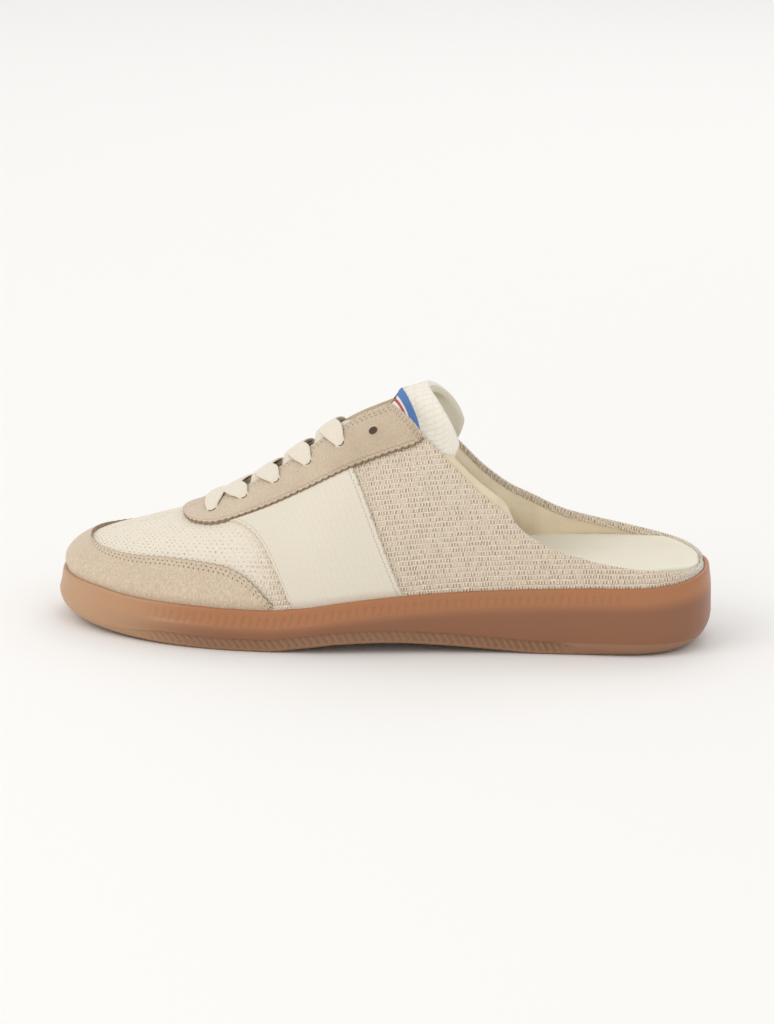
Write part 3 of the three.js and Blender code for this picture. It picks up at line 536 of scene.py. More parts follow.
# Upper: one knitted shell over the whole last, lasted into the sole's cup, with rows of small dark slots
# at the rear and sparse dots over the vamp. It is open along the throat and at the collar, where its
# edge is rolled over a soft lining, and its outer side has a pad inside the collar.
INSTEP_HEIGHT = 0.0955
COLLAR_HEIGHT = 0.088
UPPER_WALL = 0.002
GAP = 0.0003
TOE_CROWN = 0.024
TOE_NOSE = 0.0008
RIDGE_SWING = 0.0045
THROAT_HALF = 0.007
THROAT_FRONT = 0.240
THROAT_OPENS = 0.02
HAIR = 0.00001
UPPER_INSET = RIM_SETBACK + RIM_WIDTH + GAP
UPPER_TUCK = -0.4
SNUG_RISE = 0.03
COLLAR_ROLL = 0.0012
COLLAR_HEM = 0.0018
HEM_PROUD = 0.0003
LINING_PAD = 0.0038
PAD_REACH = 0.017
PAD_RISE = 0.0070
PAD_FRONT, PAD_FULL, PAD_FADES, PAD_REAR = 0.53, 0.58, 0.66, 0.80
CREST_FRONT, CREST_FULL, CREST_FADES, CREST_REAR = 0.575, 0.605, 0.684, 0.712
SCALLOP_REACH = 0.003
SCALLOP_CURVE = 0.6
VAMP_END, QUARTER_START = -0.058, -0.030
HEEL_LIP, HEEL_END = 0.1185, 0.1255
KNIT = tone(246, 230, 208)
KNIT_PALE = tone(240, 232, 216)
KNIT_SPECK = tone(206, 184, 150)
KNIT_SLOT = tone(112, 86, 58)
LINING = tone(238, 222, 192)
LINING_CLOUD = tone(186, 166, 132)
HEEL_CREAM = tone(230, 222, 204)

# Ridge of the last: height as a share of INSTEP_HEIGHT, swing to the inner side, and how full it is
RIDGE = table("at height swing power", [
    (0.00, 0.340, 1.0, 0.80),
    (0.06, 0.362, 1.0, 0.82),
    (0.10, 0.388, 1.0, 0.85),
    (0.14, 0.420, 1.0, 0.88),
    (0.20, 0.472, 1.0, 0.93),
    (0.26, 0.545, 1.0, 1.02),
    (0.32, 0.645, 1.0, 1.10),
    (0.38, 0.770, 0.9, 1.20),
    (0.43, 0.880, 0.7, 1.22),
    (0.47, 0.950, 0.5, 1.22),
    (0.51, 0.998, 0.3, 1.16),
    (0.56, 1.046, 0.1, 1.04),
    (0.64, 1.130, 0.0, 1.00),
    (0.75, 1.170, 0.0, 1.00),
    (1.00, 1.170, 0.0, 1.00),
])

# Height of the collar's edge on each side, as a share of COLLAR_HEIGHT
TOPLINE = table("at outer inner", [
    (0.500, 1.075, 1.075),
    (0.524, 1.050, 1.050),
    (0.540, 1.023, 1.020),
    (0.560, 0.968, 0.960),
    (0.580, 0.915, 0.900),
    (0.601, 0.862, 0.838),
    (0.645, 0.742, 0.704),
    (0.687, 0.643, 0.612),
    (0.720, 0.545, 0.566),
    (0.768, 0.466, 0.500),
    (0.800, 0.440, 0.474),
    (0.830, 0.416, 0.455),
    (0.888, 0.390, 0.420),
    (0.925, 0.379, 0.402),
    (0.955, 0.372, 0.390),
    (1.000, 0.362, 0.362),
])


def section(turn):
    """The last's section at each turn: its foot on the sole's edge and its ridge."""
    x, foot, at = plan(turn, UPPER_INSET)
    base = rim(at)
    tip = x + SOLE_LENGTH / 2 - UPPER_INSET
    tall = (INSTEP_HEIGHT * along(RIDGE, "height", at) - base) * rounding(tip + TOE_NOSE, TOE_CROWN)
    ridge = RIDGE_SWING * along(RIDGE, "swing", at)
    return x, at, foot, ridge, base, tall, along(RIDGE, "power", at)


def last_point(turn, rise):
    """Points on the last. A rise of 0 is level with the sole's edge, 1 is the ridge, below 0 is the cup."""
    x, at, foot, ridge, base, tall, power = section(turn)
    angle = np.clip(rise, 0, 1) * np.pi / 2
    y = ridge + (foot - ridge) * np.clip(np.cos(angle), 0, 1) ** power
    z = base + tall * np.sin(angle) ** power + np.minimum(rise, 0) * (CUP_DEPTH - GAP)
    return np.stack(np.broadcast_arrays(x, y, z), -1)


def last_normal(turn, rise):
    """Direction out of the last, which has no sideways part on the ridge, so that both sides join."""
    step = 0.004
    high = np.minimum(rise + step, 1)
    forward = last_point(turn + step, rise) - last_point(turn - step, rise)
    upward = last_point(turn, high) - last_point(turn, high - 2 * step)
    normal = np.cross(forward, upward)
    normal[..., 1] = np.where(rise > 1 - 1e-9, 0, normal[..., 1])
    size = np.linalg.norm(normal, axis=-1, keepdims=True)
    return normal / np.maximum(size, 1e-12)


def rise_at_height(turn, z):
    """Rise of the last's point at a height over the ground."""
    _, _, _, _, base, tall, power = section(turn)
    return np.arcsin(np.clip((z - base) / tall, 0, 1) ** (1 / power)) * 2 / np.pi


def rise_at_side(turn, distance):
    """Rise of the last's point at a distance to the side of the ridge."""
    _, _, foot, ridge, _, _, power = section(turn)
    width = np.abs(foot - ridge)
    share = np.clip(distance / np.maximum(width, distance), 0, 1)
    return np.arccos(share ** (1 / power)) * 2 / np.pi


def turn_at(at):
    """Turn of the outer side's point at a share of the length."""
    x = (np.asarray(at, float) - 0.5) * SOLE_LENGTH
    return np.arccos(np.clip(-x / (SOLE_LENGTH / 2 - UPPER_INSET), -1, 1))


def on_side(rows, turn, at):
    """A table's values for the side of the shoe that each turn is on."""
    return np.where(np.sin(turn) > 0, along(rows, "outer", at), along(rows, "inner", at))


def throat_opens(at):
    """Share to which the throat is open, from 0 ahead of it."""
    return smooth((at - THROAT_FRONT) / THROAT_OPENS)


def collar_edge(turn):
    """Rise of the upper's edge: the throat's side, and from its end on the collar."""
    at = section(turn)[1]
    opening = THROAT_HALF * throat_opens(at) + HAIR
    side = rise_at_side(turn, opening)
    top = rise_at_height(turn, COLLAR_HEIGHT * on_side(TOPLINE, turn, at))
    edge = np.where(at < TOPLINE["at"][0], side, np.minimum(side, top))
    return np.where(at < THROAT_FRONT, 1.0, edge)


def steps_between(start, end, spacing):
    """Turns from one share of the length to another, at even steps of about the given spacing."""
    turns = np.linspace(turn_at(start), turn_at(end), 2000)
    x, y, _ = plan(turns, UPPER_INSET)
    walk = np.concatenate(([0], np.cumsum(np.hypot(np.diff(x), np.diff(y)))))
    return np.interp(np.linspace(0, walk[-1], int(walk[-1] / spacing) + 1), walk, turns)


def walked(points, axis):
    """Distance along rows or columns of points, from 0 at the first of them."""
    pace = np.linalg.norm(np.diff(points, axis=axis), axis=-1)
    start = np.zeros_like(np.take(pace, [0], axis=axis))
    return np.concatenate((start, np.cumsum(pace, axis=axis)), axis=axis)


def scalloped(walk, reach, pitch):
    """Shares by which an edge is cut back between the tips of its scallops, fading away from the edge."""
    wave = np.abs(np.sin(np.pi * walk / pitch)) ** SCALLOP_CURVE
    return (wave - 1) * np.clip(1 - reach / SCALLOP_REACH, 0, 1)


def unit(vectors):
    return vectors / np.maximum(np.linalg.norm(vectors, axis=-1, keepdims=True), 1e-9)


def patch(turns, low, high, shares, lift, scallop=None):
    """Part of the last's surface, lifted off it, with the distances along and from both of its edges.

    Low and high are rises for each turn, shares run from 0 to 1 between them, and lift is a number or
    a grid. A scallop is a pitch and a depth by which the low edge is pinked, even or a column of depths.
    """
    turn = turns[:, None]
    rise = low[:, None] + (high - low)[:, None] * shares[None, :]
    points = last_point(turn, rise)
    normals = last_normal(turn, rise)
    low_walk, high_walk = (walked(points[:, edge], 0)[:, None] + 0 * rise for edge in (0, -1))
    reach = walked(points, 1)
    points = points + normals * (np.zeros_like(rise) + lift)[..., None]
    if scallop:
        pitch, depth = scallop
        out = unit(np.cross(normals[:, 0], np.gradient(points[:, 0], axis=0)))
        out = out * np.sign(np.sum(out * (points[:, 0] - points[:, -1]), -1, keepdims=True))
        points = points + out[:, None, :] * (depth * scalloped(low_walk, reach, pitch))[..., None]
    spread = {
        "low": np.stack((low_walk, reach), -1),
        "high": np.stack((high_walk, reach[:, -1:] - reach), -1),
    }
    return points, spread


def sheet_mesh(name, parts):
    """One smooth mesh of grids joined where they touch. Each part is its points, spread and turning."""
    mesh = bpy.data.meshes.new(name)
    points, faces, spreads, count = [], [], {}, 0
    for grid, spread, flipped in parts:
        rows, columns = grid.shape[:2]
        i, j = np.meshgrid(np.arange(rows - 1), np.arange(columns - 1), indexing="ij")
        corner = i * columns + j
        corners = [corner, corner + columns, corner + columns + 1, corner + 1]
        if flipped:
            corners.reverse()
        own = np.stack(corners, -1).reshape(-1, 4)
        for title, values in spread.items():
            spreads.setdefault(title, []).append(values.reshape(-1, 2)[own.reshape(-1)])
        points.append(grid.reshape(-1, 3))
        faces.append(own + count)
        count += rows * columns
    faces = np.concatenate(faces)
    mesh.from_pydata(np.concatenate(points).tolist(), [], faces.tolist())
    mesh.polygons.foreach_set("use_smooth", np.ones(len(faces), dtype=bool))
    for title, values in spreads.items():
        mesh.uv_layers.new(name=title).data.foreach_set("uv", np.concatenate(values).reshape(-1))
    mesh.update()
    joined = bmesh.new()
    joined.from_mesh(mesh)
    bmesh.ops.remove_doubles(joined, verts=joined.verts, dist=HAIR / 2)
    joined.to_mesh(mesh)
    joined.free()
    return mesh


def mirrored(turns):
    return 2 * np.pi - turns


def both_sides(name, turns, low, high, shares, lift, scallop=None):
    """Mesh of a patch on each side; low, high and lift are functions of the turns."""
    parts = []
    for side in (turns, mirrored(turns)):
        points, spread = patch(side, low(side), high(side), shares, lift(side), scallop)
        parts.append((points, spread, side is not turns))
    return sheet_mesh(name, parts)


def from_middle(tree, value):
    """How far a value is from the middle of its cell, from 0 to half."""
    return maths(tree, "ABSOLUTE", maths(tree, "SUBTRACT", maths(tree, "FRACT", value), 0.5))


def slots_effect():
    """Rows of short upright slots, each row shifted by half a cell, as a mask of uneven depth."""
    effect, start, end = new_effect(
        "knit_slots",
        [
            ("Place", "Vector", None), ("Row Pitch", "Float", 0.002), ("Cell Pitch", "Float", 0.002),
            ("Half Width", "Float", 0.2), ("Half Height", "Float", 0.3),
        ],
        ["Slot", "Yarn"],
    )
    place = add(effect, "SeparateXYZ", {0: start.outputs["Place"]})
    rows = maths(effect, "DIVIDE", place.outputs["Y"], start.outputs["Row Pitch"])
    row = maths(effect, "FLOOR", rows)
    shift = maths(effect, "MULTIPLY", maths(effect, "MODULO", row, 2), 0.5)
    cells = maths(effect, "DIVIDE", place.outputs["X"], start.outputs["Cell Pitch"])
    cells = maths(effect, "ADD", cells, shift)
    up, aside = from_middle(effect, rows), from_middle(effect, cells)
    near = ramp(effect, maths(effect, "DIVIDE", aside, start.outputs["Half Width"]), 1.0, 0.45)
    inside = ramp(effect, maths(effect, "DIVIDE", up, start.outputs["Half Height"]), 1.0, 0.6)
    mask = maths(effect, "MULTIPLY", near, inside)
    spot = add(effect, "CombineXYZ", {0: maths(effect, "FLOOR", cells), 1: row}).outputs[0]
    chance = add(effect, "TexWhiteNoise", {"Vector": spot}).outputs["Value"]
    slot = maths(effect, "MULTIPLY", mask, ramp(effect, chance, 0.0, 0.9, 0.25, 1.0))
    effect.links.new(slot, end.inputs["Slot"])
    effect.links.new(maths(effect, "SUBTRACT", ramp(effect, up, 0.5, 0.2), mask), end.inputs["Yarn"])
    return effect


SLOTS = slots_effect()


def knit_cloth():
    """Knit: rows of slots at the rear and dots over the vamp, both a little uneven, and plain at the heel."""
    material, tree, shader = new_material("knit_cloth", 0.92, Sheen_Weight=0.12)
    place = add(tree, "TexCoord").outputs["Object"]
    spot = add(tree, "SeparateXYZ", {0: place})
    rear = ramp(tree, spot.outputs["X"], VAMP_END, QUARTER_START)
    wander = add(tree, "TexNoise", {"Vector": place, "Scale": 520.0, "Detail": 2.0}).outputs["Color"]
    shift = add(tree, "VectorMath", {0: wander, 1: (0.5, 0.5, 0.5)}, operation="SUBTRACT").outputs[0]
    shift = add(tree, "VectorMath", {0: shift, "Scale": 0.0011}, operation="SCALE").outputs[0]
    spread = add(tree, "UVMap", uv_map="low").outputs[0]
    spread = add(tree, "VectorMath", {0: spread, 1: shift}, operation="ADD").outputs[0]
    quarter = effect_node(tree, SLOTS, {
        "Place": spread, "Row Pitch": 0.0021, "Cell Pitch": 0.00118, "Half Width": 0.29, "Half Height": 0.38,
    })
    dots = effect_node(tree, SLOTS, {
        "Place": spread, "Row Pitch": 0.0019, "Cell Pitch": 0.0024, "Half Width": 0.17, "Half Height": 0.22,
    })
    cloud = effect_node(tree, MOTTLE, {"Place": place, "Large": 45.0, "Small": 1500.0})
    fainter = ramp(tree, spot.outputs["Z"], 0.050, 0.030, 0.35, 1.0)
    sparse = maths(tree, "MULTIPLY", dots["Slot"], fainter)
    front = maths(tree, "MULTIPLY", sparse, maths(tree, "SUBTRACT", 1.0, rear))
    slots = maths(tree, "ADD", maths(tree, "MULTIPLY", quarter["Slot"], rear), front)
    shade = blend(tree, rear, KNIT_PALE, KNIT)
    shade = stain(tree, cloud["Speckle"], 0.30, shade, KNIT_SPECK)
    shade = stain(tree, slots, 0.64, shade, KNIT_SLOT)
    shade = blend(tree, ramp(tree, spot.outputs["X"], HEEL_LIP, HEEL_END), shade, HEEL_CREAM)
    tree.links.new(shade, shader.inputs["Base Color"])
    fine = add(tree, "TexNoise", {"Vector": place, "Scale": 2600.0, "Detail": 2.0}).outputs["Fac"]
    yarn = maths(tree, "MULTIPLY", quarter["Yarn"], rear)
    bumped(tree, shader, maths(tree, "ADD", yarn, maths(tree, "MULTIPLY", fine, 0.5)), 0.8, 0.0007)
    return material


def lining_cloth():
    """Soft tan lining with a fine grain."""
    material, tree, shader = new_material("lining_cloth", 0.95, Sheen_Weight=0.15)
    place = add(tree, "TexCoord").outputs["Object"]
    cloud = effect_node(tree, MOTTLE, {"Place": place, "Large": 60.0, "Small": 1800.0})
    shade = stain(tree, cloud["Cloud"], 0.3, LINING, LINING_CLOUD)
    tree.links.new(shade, shader.inputs["Base Color"])
    bumped(tree, shader, cloud["Speckle"], 0.3, 0.0003)
    return material


def collar_upward(side):
    """Direction along the upper's surface towards its edge."""
    high = collar_edge(side)
    return unit(last_point(side, high) - last_point(side, high - 0.01))[:, None]


def rolled_edge(side, angles):
    """Rows of points over the collar's edge, from an angle of 0 outside to pi inside."""
    high = collar_edge(side)
    edge = last_point(side, high)[:, None]
    swing = (UPPER_WALL / 2 * (np.cos(angles) - 1))[None, :, None]
    over = (COLLAR_ROLL * np.sin(angles))[None, :] * throat_opens(section(side)[1])[:, None]
    return edge + last_normal(side, high)[:, None] * swing + collar_upward(side) * over[..., None]


def upper_shell():
    """The knit from inside the cup up to its edge, over it, and down inside as a short hem."""
    turns = steps_between(0, 1, 0.0009)
    angles = np.linspace(0, np.pi, 10)
    hem = np.linspace(0, COLLAR_HEM, 4)[1:]
    shares = np.linspace(0, 1, 66)
    parts = []
    for side in (turns, mirrored(turns)):
        low, high = np.full_like(side, UPPER_TUCK), collar_edge(side)
        rises = low[:, None] + (high - low)[:, None] * shares
        snug = GAP * (1 - smooth(rises / SNUG_RISE))
        points, spread = patch(side, low, high, shares, snug)
        rolled = rolled_edge(side, angles)[:, 1:]
        opened = throat_opens(section(side)[1])[:, None]
        inward = rolled[:, -1:] - collar_upward(side) * (hem * opened)[..., None]
        inward = inward - last_normal(side, high)[:, None] * HEM_PROUD
        walk, reach = spread["low"][:, -1:, 0], spread["low"][:, -1:, 1]
        further = np.concatenate((COLLAR_ROLL * angles[1:], COLLAR_ROLL * np.pi + hem))
        more = np.stack((walk + 0 * further, reach + further), -1)
        spread = {"low": np.concatenate((spread["low"], more), axis=1)}
        parts.append((np.concatenate((points, rolled, inward), axis=1), spread, side is not turns))
    return sheet_mesh("knit_upper", parts)


def plateau(at, start, full, fades, end):
    """Share that grows from 0 to 1 over a stretch of the length, stays, and fades again."""
    return smooth((at - start) / (full - start)) * smooth((end - at) / (end - fades))


def upper_lining():
    """Inside of the shell. On the outer side a pad swells behind the collar's edge and up over it."""
    parts = []
    turns = steps_between(0, 1, 0.0012)
    down = np.linspace(1, 0, 70)[1:]
    for side in (turns, mirrored(turns)):
        at = section(side)[1][:, None]
        low, high = np.full_like(side, UPPER_TUCK), collar_edge(side)
        rise = low[:, None] + (high - low)[:, None] * down[None, :]
        inside = last_point(side[:, None], rise) - last_normal(side[:, None], rise) * UPPER_WALL
        points = np.concatenate((rolled_edge(side, np.array([np.pi])), inside), axis=1)
        away = walked(points, 1)
        zone = plateau(at, PAD_FRONT, PAD_FULL, PAD_FADES, PAD_REAR)
        crest = plateau(at, CREST_FRONT, CREST_FULL, CREST_FADES, CREST_REAR)
        swell = np.sin(np.pi * np.clip((away - COLLAR_HEM) / PAD_REACH, 0, 1)) ** 0.8
        raised = np.sin(np.pi * np.clip(away / PAD_REACH, 0, 1) ** 0.5)
        if side is turns:
            points[..., 1] += LINING_PAD * (zone * swell * (1 - crest) + crest * raised)
            points[..., 2] += PAD_RISE * crest * raised
        else:
            points[..., 1] -= LINING_PAD * zone * swell
        parts.append((points, {}, side is not turns))
    return sheet_mesh("upper_lining", parts)


upper = piece("knit_upper", upper_shell(), knit_cloth())
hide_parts("upper")
lining = piece("upper_lining", upper_lining(), lining_cloth())

# Insole: a soft cream footbed of foam under smooth leather, low at the ball and cupped at the heel,
# which lies loose in the cup of the sole.
INSOLE_BALL = 0.0046
INSOLE_HEEL = 0.0106
INSOLE_CUP = 0.0034
INSOLE_CUP_WIDTH = 0.011
INSOLE_ROUND = 0.0015
INSOLE_DROP = 0.002
INSOLE_RISES, INSOLE_CUPPED, INSOLE_FULL, INSOLE_ENDS = 0.4, 0.66, 0.75, 0.92
FOOTBED = tone(232, 226, 208)
FOOTBED_CLOUD = tone(214, 204, 182)


def insole_points():
    """Top of the footbed, from its outer side across to its inner side, with its edges rounded down."""
    inset = UPPER_INSET + UPPER_WALL + HAIR
    turns = np.linspace(0.0005, np.pi - 0.0005, 260)
    x, outer, at = plan(turns, inset)
    _, inner, _ = plan(mirrored(turns), inset)
    share = (1 - np.cos(np.linspace(0, np.pi, 60))) / 2
    y = outer[:, None] + (inner - outer)[:, None] * share
    side = np.minimum(share, 1 - share) * (inner - outer)[:, None]
    end = (SOLE_LENGTH / 2 - inset - np.abs(x))[:, None]
    away = np.minimum(side, end + 0.0001)
    ending = smooth((at - INSOLE_ENDS) / (1 - INSOLE_ENDS))
    thicker = smooth((at - INSOLE_RISES) / (INSOLE_FULL - INSOLE_RISES))
    thick = INSOLE_BALL + (INSOLE_HEEL - INSOLE_BALL) * thicker
    cupped = INSOLE_CUP * smooth((at - INSOLE_RISES) / (INSOLE_CUPPED - INSOLE_RISES)) * (1 - ending)
    top = cup_floor(at) + GAP + thick - INSOLE_ROUND * ending
    z = top[:, None] + cupped[:, None] * (1 - smooth(away / INSOLE_CUP_WIDTH))
    z = z - INSOLE_DROP * (1 - rounding(away, INSOLE_ROUND))
    return np.stack(np.broadcast_arrays(x[:, None], y, z), -1)


def footbed_leather():
    """Smooth cream leather with a faint cloud and a fine grain."""
    material, tree, shader = new_material("footbed_leather", 0.6)
    place = add(tree, "TexCoord").outputs["Object"]
    cloud = effect_node(tree, MOTTLE, {"Place": place, "Large": 30.0, "Small": 1400.0})
    shade = stain(tree, cloud["Cloud"], 0.2, FOOTBED, FOOTBED_CLOUD)
    tree.links.new(shade, shader.inputs["Base Color"])
    bumped(tree, shader, cloud["Speckle"], 0.12, 0.0002)
    return material


insole = piece("footbed", mesh_of_grid("footbed", insole_points()), footbed_leather())
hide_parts("insole")

# Toe cap: suede wrapped round the toe from the sole's edge up to a pinked edge that drops to the sole
# ahead of the arch, sewn on with two rows of needle holes.
OVERLAY_GAP = 0.0004
OVERLAY = 0.0012
OVERLAY_TOP = OVERLAY_GAP + OVERLAY
OVERLAY_TUCK = -0.25
TUCK = 0.0035
TUCK_SHARE = 0.35
PINK_PITCH = 0.0029
PINK_DEPTH = 0.0010
STITCH_INSET = 0.0019
STITCH_ROWS = 0.0016
STITCH_PITCH = 0.0021
STITCH_SIZE = 0.00042
# Width of the dark band along the pinked edge: its cut edge and a painted shadow under the scallops
CUT_EDGE_AND_SHADOW_WIDTH = 0.0007
NOSE_START = 0.0005
NO_STITCH = 0.05
SUEDE = tone(216, 198, 175)
SUEDE_PALE = tone(226, 210, 186)
SUEDE_DARK = tone(176, 154, 124)
# Dark brown of the cut edge along the pinked edge, with a painted shadow under its scallops
SUEDE_CUT_EDGE_AND_SHADOW = tone(128, 102, 72)
NEEDLE_HOLE = tone(84, 66, 46)

# Upper edge of the cap on each side, as a rise on the last
CAP_EDGE = table("at outer inner", [
    (0.050, 1.000, 1.000),
    (0.056, 0.800, 0.800),
    (0.080, 0.560, 0.560),
    (0.130, 0.440, 0.450),
    (0.180, 0.400, 0.410),
    (0.230, 0.345, 0.360),
    (0.270, 0.295, 0.310),
    (0.300, 0.225, 0.240),
    (0.345, 0.050, 0.060),
])

# Turned edge of an overlay, from its foot inwards: share of its width, and lift as a share of OVERLAY_TOP
TURNED_EDGE = table("share lift", [
    (0.000, 0.03125),
    (0.000, 0.72),
    (0.002, 0.97),
])


def stitches_effect():
    """Rows of needle holes beside an edge, from the distances along it and from it."""
    effect, start, end = new_effect(
        "needle_holes",
        [
            ("Place", "Vector", None), ("Inset", "Float", STITCH_INSET), ("Pitch", "Float", STITCH_PITCH),
            ("Size", "Float", STITCH_SIZE), ("Row Gap", "Float", 0.0),
        ],
        ["Hole", "Pucker"],
    )
    place = add(effect, "SeparateXYZ", {0: start.outputs["Place"]})
    away = maths(effect, "SUBTRACT", place.outputs["Y"], start.outputs["Inset"])
    centre = maths(effect, "MULTIPLY", start.outputs["Row Gap"], 0.5)
    away = maths(effect, "SUBTRACT", away, centre)
    from_row = maths(effect, "ABSOLUTE", maths(effect, "SUBTRACT", maths(effect, "ABSOLUTE", away), centre))
    second = maths(effect, "MULTIPLY", maths(effect, "GREATER_THAN", away, 0.0), 0.5)
    cells = maths(effect, "DIVIDE", place.outputs["X"], start.outputs["Pitch"])
    cells = maths(effect, "ADD", cells, second)
    along_row = maths(effect, "MULTIPLY", from_middle(effect, cells), start.outputs["Pitch"])
    flat = add(effect, "CombineXYZ", {0: along_row, 1: from_row}).outputs[0]
    distance = add(effect, "VectorMath", {0: flat}, operation="LENGTH").outputs["Value"]
    size = maths(effect, "DIVIDE", distance, start.outputs["Size"])
    effect.links.new(ramp(effect, size, 1.0, 0.5), end.inputs["Hole"])
    beside = maths(effect, "DIVIDE", from_row, start.outputs["Size"])
    effect.links.new(ramp(effect, beside, 2.4, 0.6), end.inputs["Pucker"])
    return effect


def nap_effect():
    """Suede nap: clouds where it lies one way or the other, and short upright hairs."""
    effect, start, end = new_effect("suede_nap", [("Place", "Vector", None)], ["Lie", "Hair"])
    large = add(effect, "TexNoise", {"Vector": start.outputs["Place"], "Scale": 55.0, "Detail": 4.0})
    effect.links.new(ramp(effect, large.outputs["Fac"], 0.35, 0.65), end.inputs["Lie"])
    squeeze = add(effect, "Mapping", {"Vector": start.outputs["Place"], "Scale": (1, 1, 0.22)})
    hair = add(effect, "TexNoise", {"Vector": squeeze.outputs[0], "Scale": 2000.0, "Detail": 4.0})
    effect.links.new(ramp(effect, hair.outputs["Fac"], 0.32, 0.68), end.inputs["Hair"])
    return effect


STITCHES = stitches_effect()
NAP = nap_effect()


def suede(name, front, rear, edges):
    """Suede going from a front shade to a rear one (on the eyestay a painted shade), darkened along its
    pinked low edge by its cut edge and a painted shadow, with needle holes beside the given edges: a UV map
    and the rows' gap.
    """
    material, tree, shader = new_material(name, 0.95, Sheen_Weight=0.25, Sheen_Roughness=0.5)
    place = add(tree, "TexCoord").outputs["Object"]
    nap = effect_node(tree, NAP, {"Place": place})
    x = add(tree, "SeparateXYZ", {0: place}).outputs["X"]
    # Front to rear colour: on the eyestay the rear one is painted shade, away from the key light
    shade = blend(tree, ramp(tree, x, -0.07, 0.015), front, rear)
    shade = stain(tree, nap["Lie"], 0.4, shade, SUEDE_PALE)
    shade = stain(tree, nap["Hair"], 0.52, shade, SUEDE_DARK)
    relief = maths(tree, "MULTIPLY", nap["Hair"], 0.35)
    from_low = add(tree, "SeparateXYZ", {0: add(tree, "UVMap", uv_map="low").outputs[0]}).outputs["Y"]
    # Along the pinked low edge: the dark cut edge, and a painted shadow under the scallops
    shade = blend(tree, ramp(tree, from_low, CUT_EDGE_AND_SHADOW_WIDTH, 0.0, 0.0, 0.75), shade, SUEDE_CUT_EDGE_AND_SHADOW)
    for spread, gap in edges:
        beside = add(tree, "UVMap", uv_map=spread).outputs[0]
        holes = effect_node(tree, STITCHES, {"Place": beside, "Inset": STITCH_INSET, "Row Gap": gap})
        shade = stain(tree, holes["Hole"], 0.8, shade, NEEDLE_HOLE)
        relief = maths(tree, "SUBTRACT", relief, holes["Hole"])
        relief = maths(tree, "SUBTRACT", relief, maths(tree, "MULTIPLY", holes["Pucker"], 0.5))
    tree.links.new(shade, shader.inputs["Base Color"])
    bumped(tree, shader, relief, 0.5, 0.0005)
    return material


def folded(count):
    """Shares from one edge to the other, with the turned edges' extra columns at both ends."""
    turned = TURNED_EDGE["share"]
    return np.concatenate((turned, np.linspace(0, 1, count)[1:-1], 1 - turned[::-1]))


def edge_lift(shares, low_edge, high_edge):
    """Lift of an overlay across its width: full inside, and folded down at the edges that show."""
    lift = np.full(len(shares), OVERLAY_TOP)
    turned = TURNED_EDGE["lift"] * OVERLAY_TOP
    if low_edge:
        lift[:3] = turned
    if high_edge:
        lift[-3:] = turned[::-1]
    return lift


def tucked_lift(turn, rise):
    """Most that an overlay stands off the last: less near the sole's edge, where it goes into the cup."""
    height = np.linalg.norm(last_point(turn, rise) - last_point(turn, 0 * turn), axis=-1)
    return OVERLAY_TOP * (TUCK_SHARE + (1 - TUCK_SHARE) * smooth(height / TUCK))


def cap_mesh():
    """The cap from its edge down into the cup. Ahead of its edge both sides meet along the ridge."""
    rows = CAP_EDGE["at"]
    turns = np.concatenate((
        steps_between(0, rows[0], 0.0006)[:-1],
        turn_at(np.linspace(rows[0], rows[1], 14))[:-1],
        steps_between(rows[1], rows[-1], 0.00034),
    ))
    parts = []
    shares = folded(60)
    for side in (turns, mirrored(turns)):
        at = section(side)[1]
        low = np.full_like(side, OVERLAY_TUCK)
        high = np.where(at <= rows[0], 1, np.maximum(on_side(CAP_EDGE, side, at), 0.01))
        past = ((at - rows[0]) / NOSE_START)[:, None]
        edged, walled = smooth(past), smooth(past + 1)
        rise = high[:, None] + (low - high)[:, None] * shares
        fold = edge_lift(shares, True, False)[None, :]
        lift = np.minimum(tucked_lift(side[:, None], rise), fold * walled + OVERLAY_TOP * (1 - walled))
        points, spread = patch(side, high, low, shares, lift, (PINK_PITCH, PINK_DEPTH * edged))
        before = np.searchsorted(at, rows[0] - NOSE_START / 2)
        spread["low"][..., 0] -= spread["low"][before, 0, 0]
        spread["low"][:before, :, 1] += NO_STITCH
        parts.append((points, spread, side is turns))
    return sheet_mesh("toe_cap", parts)


cap_suede = suede("suede_toe_cap", SUEDE, SUEDE, [("low", STITCH_ROWS)])
cap = piece("suede_toe_cap", cap_mesh(), cap_suede)
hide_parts("toe_cap")

# Eyestay: a suede U round the throat that carries six punched eyelets a side, pinked along its outer
# edge and sewn beside both of its edges, with rounded rear corners.
STAY_CORNER = 0.005
# Painted shade on the rear of the eyestay, away from the key light
STAY_REAR_PAINTED_SHADE = tone(190, 170, 146)

# Outer edge of the eyestay on both sides, as a rise on the last
EYESTAY_EDGE = table("at rise", [
    (0.190, 1.000),
    (0.196, 0.860),
    (0.215, 0.725),
    (0.250, 0.635),
    (0.300, 0.610),
    (0.370, 0.590),
    (0.440, 0.575),
    (0.500, 0.575),
    (0.562, 0.570),
])


